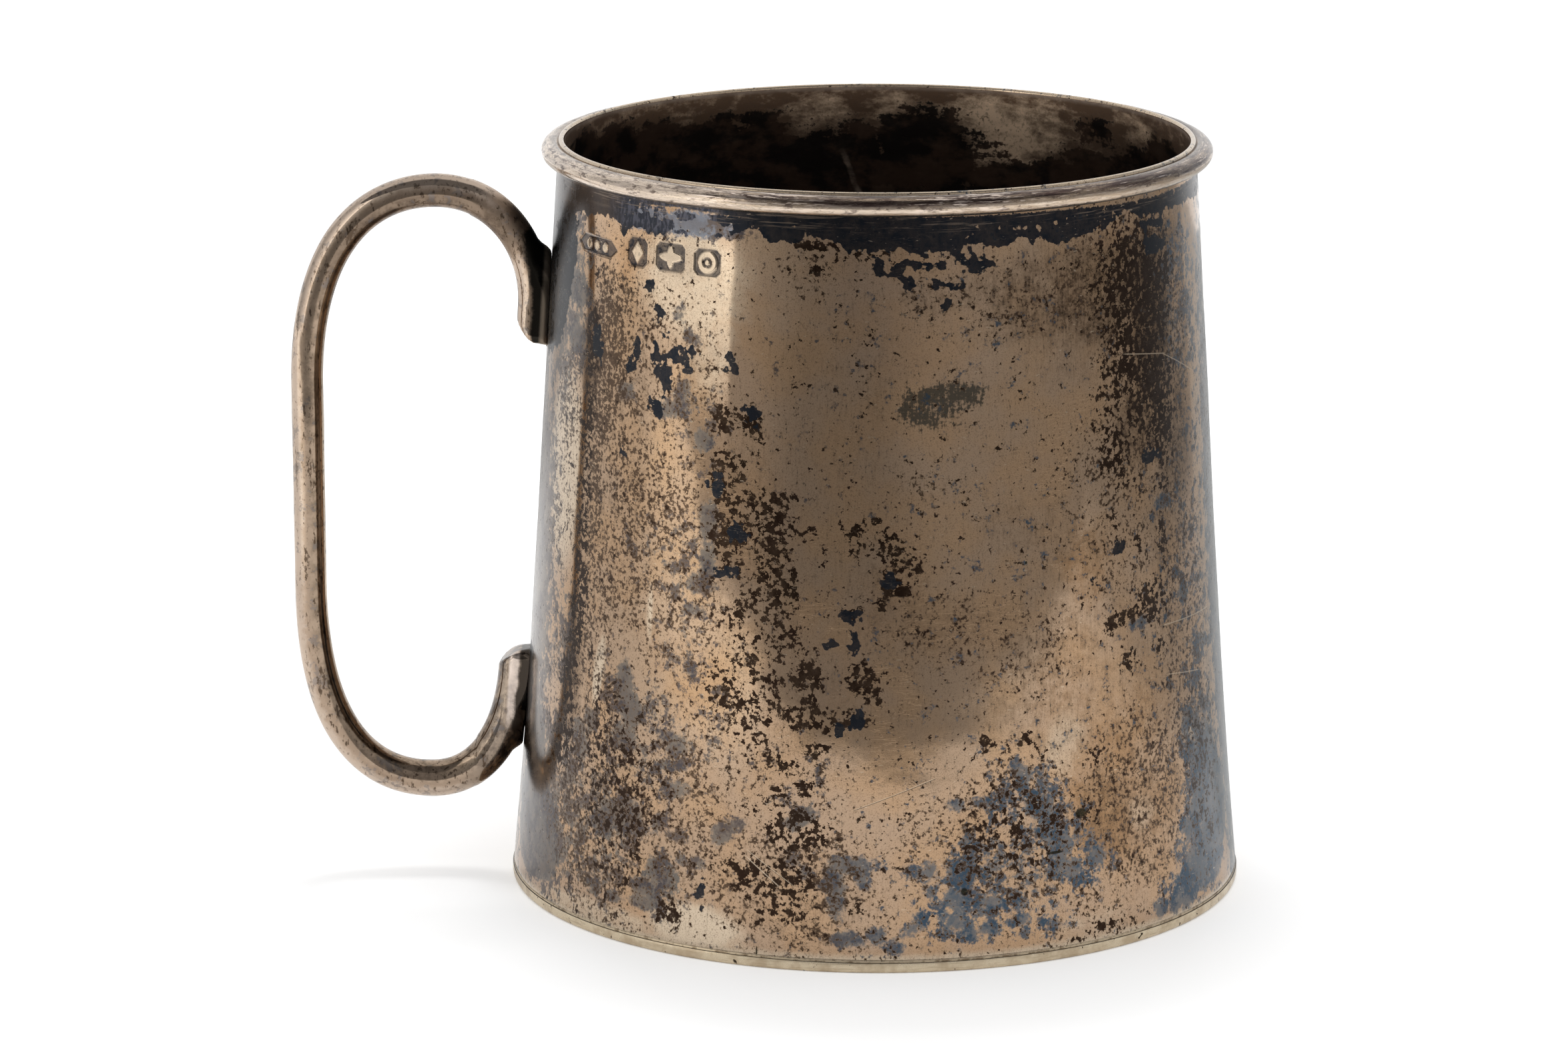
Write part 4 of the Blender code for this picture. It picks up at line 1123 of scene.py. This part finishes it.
UPPER_CRUST_AND_SHADE = (0.018, 0.016, 0.013)
TIP_PAINTED_HIGHLIGHT = (0.80, 0.68, 0.60)
FILLET_BROWN = (0.30, 0.24, 0.18)
WALL_SLOPE = 0.0624
WALL_FOOT_REACH = 35.5

rubbed_and_lit_layer = wire.verts.layers.float.new("rubbed")
sheltered_and_shade_layer = wire.verts.layers.float.new("sheltered")
for vertex in wire.verts:
    away = vertex.co - EAR_MIDDLE
    away.y = 0.0
    off_wall = stand_off(vertex.co)
    near = max(0.0, 1.0 - off_wall / SHELTER_REACH)
    outer_side = vertex.normal.dot(away.normalized())
    vertex[rubbed_and_lit_layer] = outer_side + (-vertex.normal.x - outer_side) * min(1.0, near * 2.5)
    # The sides that face the wall, near it, are painted near black: tarnish with painted shade and a painted
    # reflection of the wall.
    if vertex.co.z > MUG_HEIGHT / 2.0:
        low = min(1.0, max(0.0, (SHELTER_TOP - vertex.co.z) / SHELTER_FADE))
        vertex[sheltered_and_shade_layer] = near * (0.75 + vertex.normal.x * 1.3) * low
    else:
        facing = max(0.0, vertex.normal.x - 0.55) * max(0.0, 1.0 - off_wall / CUP_SHELTER_REACH)
        seated = max(0.0, 1.0 - off_wall / SEAT_REACH)
        vertex[sheltered_and_shade_layer] = near * (0.3 + vertex.normal.x * 0.9) + facing * 1.6 + seated * 0.9

handle_silver, shader, place = start_finish("handle_silver_handled", Metallic=1.0)
x, y, level = place.parts()
cloud = place.grain(0.18, 3.0, 0.55)
ragged = place.grain(0.8, 5.0, 0.64)
fine = (place * (1.0, 1.0, 0.6)).grain(3.2, 3.0, 0.62)
lengthwise = (place * (1.6, 3.4, 0.4)).grain(1.0, 4.0, 0.62)
rubbed = (place.painted("rubbed") + (ragged - 0.5) * 1.6 + (cloud - 0.5) * 0.8).rise(-0.35, 0.45)
worn_and_lit = (place.painted("rubbed") + (ragged - 0.5) * 0.8).rise(0.15, 0.5)
sheltered = (place.painted("sheltered") + (ragged - 0.5) * 0.6).rise(0.22, 0.50)
off_wall = x.hypot(y) + level * WALL_SLOPE - WALL_FOOT_REACH
patchy = ragged.rise(0.38, 0.64)
arch = level.rise(55.0, 64.0)
film = arch.blend(patchy.blend(HANDLE_FILM, HANDLE_FILM_DARK), patchy.blend(ARCH_FILM, ARCH_FILM_DARK))
# Some places have their own look: the ear's inner edge is painted lighter, a painted reflection of the wall;
# the hollow of the loop;
# the filed sides of the lower tip, worn and with a painted highlight; and the fillet of the upper one.
inner_edge_painted_light = place.painted("rubbed").rise(-0.45, -0.85) * level.rise(60.0, 52.0) * level.rise(14.0, 22.0)
cup = off_wall.rise(7.0, 3.0) * level.rise(33.0, 27.0) * 0.9
streaked = (lengthwise + (fine - 0.5) * 0.6).rise(0.57, 0.66)
# On each filed side of the lower tip: a worn patch, brightened as a painted highlight.
tip_wear_and_highlight = abs(y).rise(0.9, 1.6) * (1.0 - abs(off_wall - 1.5)).rise(0.35, 0.7) * level.rise(24.5, 22.5)
tip_wear_and_highlight = tip_wear_and_highlight * level.rise(13.5, 17.0)
fillet = off_wall.rise(0.95, 0.5) * level.rise(36.0, 44.0)
laid_over(
    inner_edge_painted_light.blend(film, INNER_RUN_LIGHT),
    (rubbed, cloud.rise(0.38, 0.62).blend(HANDLE_PALE, HANDLE_TAN)),
    (worn_and_lit * 0.5, HANDLE_WORN_AND_LIT),
    (cup, (ragged.rise(0.40, 0.58) * 0.75).blend(CUP_TAN, CUP_DARK)),
    ((ragged + cloud * 0.4).rise(0.76, 0.82) * 0.45, HANDLE_CLOUD),
    (streaked * (0.92 - worn_and_lit * 0.4), HANDLE_STREAK),
    (fine.rise(0.58, 0.68) * (0.5 - worn_and_lit * 0.3), HANDLE_FLECK),
    (tip_wear_and_highlight * (1.1 - ragged), TIP_PAINTED_HIGHLIGHT),
    (sheltered * 0.99, level.rise(32.0, 40.0).blend(LOWER_CRUST_AND_SHADE, UPPER_CRUST_AND_SHADE)),
    (fillet * 0.9, FILLET_BROWN),
).feed(shader, "Base Color")
shoulder = off_wall.rise(8.5, 5.5) * level.rise(60.0, 64.0)
rough = 0.035 + cloud * 0.04 + (1.0 - rubbed) * 0.09 + (ragged - 0.5) * 0.06
(rough + shoulder.most(fillet) * 0.38).feed(shader, "Roughness")
bumped(lengthwise * 0.0015 + ragged * 0.004 + fine * 0.001 + cloud * 0.03, shader)
handle = piece_from(wire, "mug_handle", handle_silver)
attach(handle, "root")
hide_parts("handle_wire")


# The table: a sheet of white paper that the mug stands on and that runs away behind it.
# Camera and mirror rays see it a little brighter, so that it meets the white behind.
FLOOR_REACH = 4.0
NO_GLOW = (0.0, 0.0, 0.0)
MIRROR_GLOW = (0.12, 0.12, 0.12)
CAMERA_GLOW = (0.24, 0.24, 0.24)

floor_shape = bmesh.new()
bmesh.ops.create_grid(floor_shape, x_segments=2, y_segments=2, size=FLOOR_REACH)
floor_paper, shader, place = start_finish(
    "floor_paper", **{"Base Color": (0.83, 0.83, 0.83, 1.0), "Roughness": 0.9, "Emission Strength": 1.0}
)
path = place.node("LightPath")
mirrored = path.output("Is Glossy Ray").most(path.output("Is Transmission Ray"))
path.blend(mirrored.blend(NO_GLOW, MIRROR_GLOW), CAMERA_GLOW).feed(shader, "Emission Color")
floor = piece_from(floor_shape, "floor", floor_paper)
floor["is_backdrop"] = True


# The room: dim on the camera's side, with a white softbox on the left and white paper behind.
# These panels are seen in the metal alone. They stand in a ring, with one overhead and one
# over the dark ground in front of the table's edge.
ROOM_RADIUS = 0.75
ROOM_FOOT = -0.2
ROOM_HEIGHT = 0.75
ROOM_STEPS = 96
ROOM_START = -150.0
ROOM_SPAN = 300.0
TABLE_EDGE = 0.191
ROOM_LIGHT = [
    (-150, 0.8, 0.82, 0.85), (-140, 0.85, 0.87, 0.9), (-124, 0.9, 0.9, 0.9), (-112, 0.56, 0.57, 0.58),
    (-96, 0.56, 0.56, 0.57), (-80, 0.8, 0.8, 0.8), (-64, 1.18, 1.18, 1.16), (-57, 1.5, 1.48, 1.44),
    (-51.6, 1.75, 1.72, 1.66), (-50.4, 0.7, 0.69, 0.67), (-40, 0.5, 0.5, 0.49), (-24, 0.32, 0.32, 0.32),
    (-8, 0.29, 0.29, 0.3), (8, 0.34, 0.34, 0.35), (24, 0.46, 0.46, 0.47), (40, 0.5, 0.5, 0.5),
    (72, 0.54, 0.54, 0.54), (104, 0.52, 0.52, 0.52), (117, 0.44, 0.44, 0.44), (122, 0.4, 0.44, 0.49),
    (136, 0.59, 0.62, 0.65), (150, 0.86, 0.87, 0.88),
]


def panel(name, shape, light_at, cover=None):
    """A lit panel that only mirror rays meet. Where its cover is 0, they pass through it."""
    material = bpy.data.materials.new(name)
    material.use_nodes = True
    tree = material.node_tree
    tree.nodes.clear()
    start = Link(tree, tree.nodes.new("ShaderNodeTexCoord").outputs["Object"])
    glow = start.node("Emission", None, {"Color": light_at(start), "Strength": 1.0})
    if cover is not None:
        clear = start.node("BsdfTransparent")
        glow = start.node("MixShader", None, {0: cover(start), 1: clear, 2: glow})
    tree.links.new(glow.socket, tree.nodes.new("ShaderNodeOutputMaterial").inputs[0])
    made = piece_from(shape, name, material)
    made.visible_camera = False
    made.visible_diffuse = False
    made.visible_transmission = False
    made.visible_shadow = False
    made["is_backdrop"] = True


def room_light(start):
    """The light of the room's wall by its heading, from the stops of a colour ramp."""
    x, y, _ = start.parts()
    heading = (x.math("ARCTAN2", 0.0 - y) - math.radians(ROOM_START)) / math.radians(ROOM_SPAN)
    stops = [((angle - ROOM_START) / ROOM_SPAN, (*light, 1.0)) for angle, *light in ROOM_LIGHT]
    return start.node("ValToRGB", {"stops": stops}, {0: heading})


walls_shape = bmesh.new()
room_angle = math.radians(ROOM_START)
corner = Vector((math.sin(room_angle), -math.cos(room_angle), 0.0)) * ROOM_RADIUS
ends = [walls_shape.verts.new((corner.x, corner.y, height)) for height in (ROOM_FOOT, ROOM_HEIGHT)]
side = walls_shape.edges.new(ends)
turn = math.radians(ROOM_SPAN)
bmesh.ops.spin(walls_shape, geom=ends + [side], axis=(0.0, 0.0, 1.0), angle=turn, steps=ROOM_STEPS)
panel("room_walls", walls_shape, room_light)


def ceiling_light(start):
    """Dim over the camera's side of the mug, and white behind."""
    behind = start.parts()[1].rise(-0.05, 0.10)
    return behind.blend((0.17, 0.17, 0.175), (0.80, 0.80, 0.80))


ceiling_shape = bmesh.new()
bmesh.ops.create_circle(ceiling_shape, cap_ends=True, segments=48, radius=ROOM_RADIUS)
bmesh.ops.translate(ceiling_shape, verts=ceiling_shape.verts, vec=(0.0, 0.0, ROOM_HEIGHT))
panel("room_ceiling", ceiling_shape, ceiling_light)


def behind_mug(x, y):
    """1 in the strip of table behind the mug on its right, which the box on the left leaves grey."""
    return (y - x * 1.11 + 0.0496).rise(-0.004, 0.012) * x.rise(0.02, 0.035)


def past_table(start):
    """1 beyond the table's straight front edge, and past the light's end on its right."""
    x, y, _ = start.parts()
    front = (0.0 - y - TABLE_EDGE).rise(-0.003, 0.004)
    corner = (x * 0.35 - y - 0.20).rise(-0.05, 0.05)
    right = (x + y * 0.6 - 0.155).rise(-0.16, 0.16)
    behind = (x * 0.7 + y - 0.07).rise(-0.03, 0.06) * 0.85
    return front.most(corner).most(right).most(behind).most(behind_mug(x, y))


def table_cover(start):
    """The dark past the table, and a glare on the table's left."""
    return past_table(start).most(start.parts()[0].rise(-0.09, -0.17))


def table_light(start):
    """Dark past the table, white in the glare, and white where the softbox comes down."""
    x, y, _ = start.parts()
    heading = x.math("ARCTAN2", 0.0 - y)
    foot = x.hypot(y).rise(0.44, 0.62) * heading.rise(-0.885, -0.897)
    nearness = (0.0 - y).rise(0.36, 0.19) * 0.5
    dim = nearness.most(x.rise(-0.02, 0.16)).blend((0.30, 0.30, 0.30), (0.44, 0.44, 0.44))
    dim = heading.rise(-0.42, -0.86).blend(dim, (0.54, 0.53, 0.52))
    dim = behind_mug(x, y).blend(dim, (0.62, 0.63, 0.63))
    glare = (0.0 - y).rise(0.02, 0.12).blend((1.0, 1.0, 1.0), (1.5, 1.5, 1.46))
    ground = past_table(start).blend(glare, dim)
    return foot.blend(ground, (1.35, 1.33, 1.29))


ground_shape = bmesh.new()
bmesh.ops.create_grid(ground_shape, x_segments=1, y_segments=1, size=1.0)
bmesh.ops.translate(ground_shape, verts=ground_shape.verts, vec=(0.0, -0.65, 0.0005))
panel("room_ground", ground_shape, table_light, table_cover)


# The light: a broad soft lamp overhead, a little behind the mug, and a white world.
# The metal doesn't mirror the lamp itself: it mirrors the panels of the room, and the white between.
LAMP_PLACE = Vector((-0.02, 0.20, 0.70))
LAMP_AIM = Vector((0.0, 0.0, 0.04))
WORLD_LIGHT = 1.05

lamp = bpy.data.lights.new("overhead_soft", "AREA")
lamp.shape = "RECTANGLE"
lamp.size = 0.16
lamp.size_y = 0.12
lamp.energy = 1.0
lamp_stand = bpy.data.objects.new("overhead_soft", lamp)
lamp_stand.location = LAMP_PLACE
lamp_stand.rotation_euler = (LAMP_AIM - lamp_stand.location).to_track_quat("-Z", "Y").to_euler()
lamp_stand.visible_glossy = False
bpy.context.scene.collection.objects.link(lamp_stand)

world = bpy.data.worlds.new("white_room")
bpy.context.scene.world = world
world.use_nodes = True
world.node_tree.nodes.clear()
path = Link(world.node_tree, world.node_tree.nodes.new("ShaderNodeLightPath").outputs["Is Camera Ray"])
seen = path.most(path.output("Is Glossy Ray")).most(path.output("Is Transmission Ray"))
soft = path.node("Background", None, {0: (1.0, 1.0, 1.0, 1.0), 1: WORLD_LIGHT})
white = path.node("Background", None, {0: (1.0, 1.0, 1.0, 1.0), 1: 1.0})
both = path.node("MixShader", None, {0: seen, 1: soft, 2: white})
world.node_tree.links.new(both.socket, world.node_tree.nodes.new("ShaderNodeOutputWorld").inputs[0])

bpy.context.scene.view_settings.view_transform = "Standard"


# The camera: a long lens a little above the lip, square on to the handle's plane.
# It was fitted to the outlines of the wall, the rim and the base, and looks down by CAMERA_DIP.
CAMERA_PLACE = (-0.00902, -0.600, 0.17835)
CAMERA_DIP = 0.2343

camera_data = bpy.data.cameras.new("camera")
camera_data.lens = 143.89
camera_data.sensor_width = 36.0
camera_data.clip_start = 0.01
camera = bpy.data.objects.new("camera", camera_data)
camera.location = CAMERA_PLACE
camera.rotation_euler = (math.radians(90.0) - CAMERA_DIP, 0.0, 0.0)
bpy.context.scene.collection.objects.link(camera)
bpy.context.scene.camera = camera

boxes = {"cad": cad_box, "visual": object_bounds()}
boxes = {name: [[float(value) for value in corner] for corner in box] for name, box in boxes.items()}
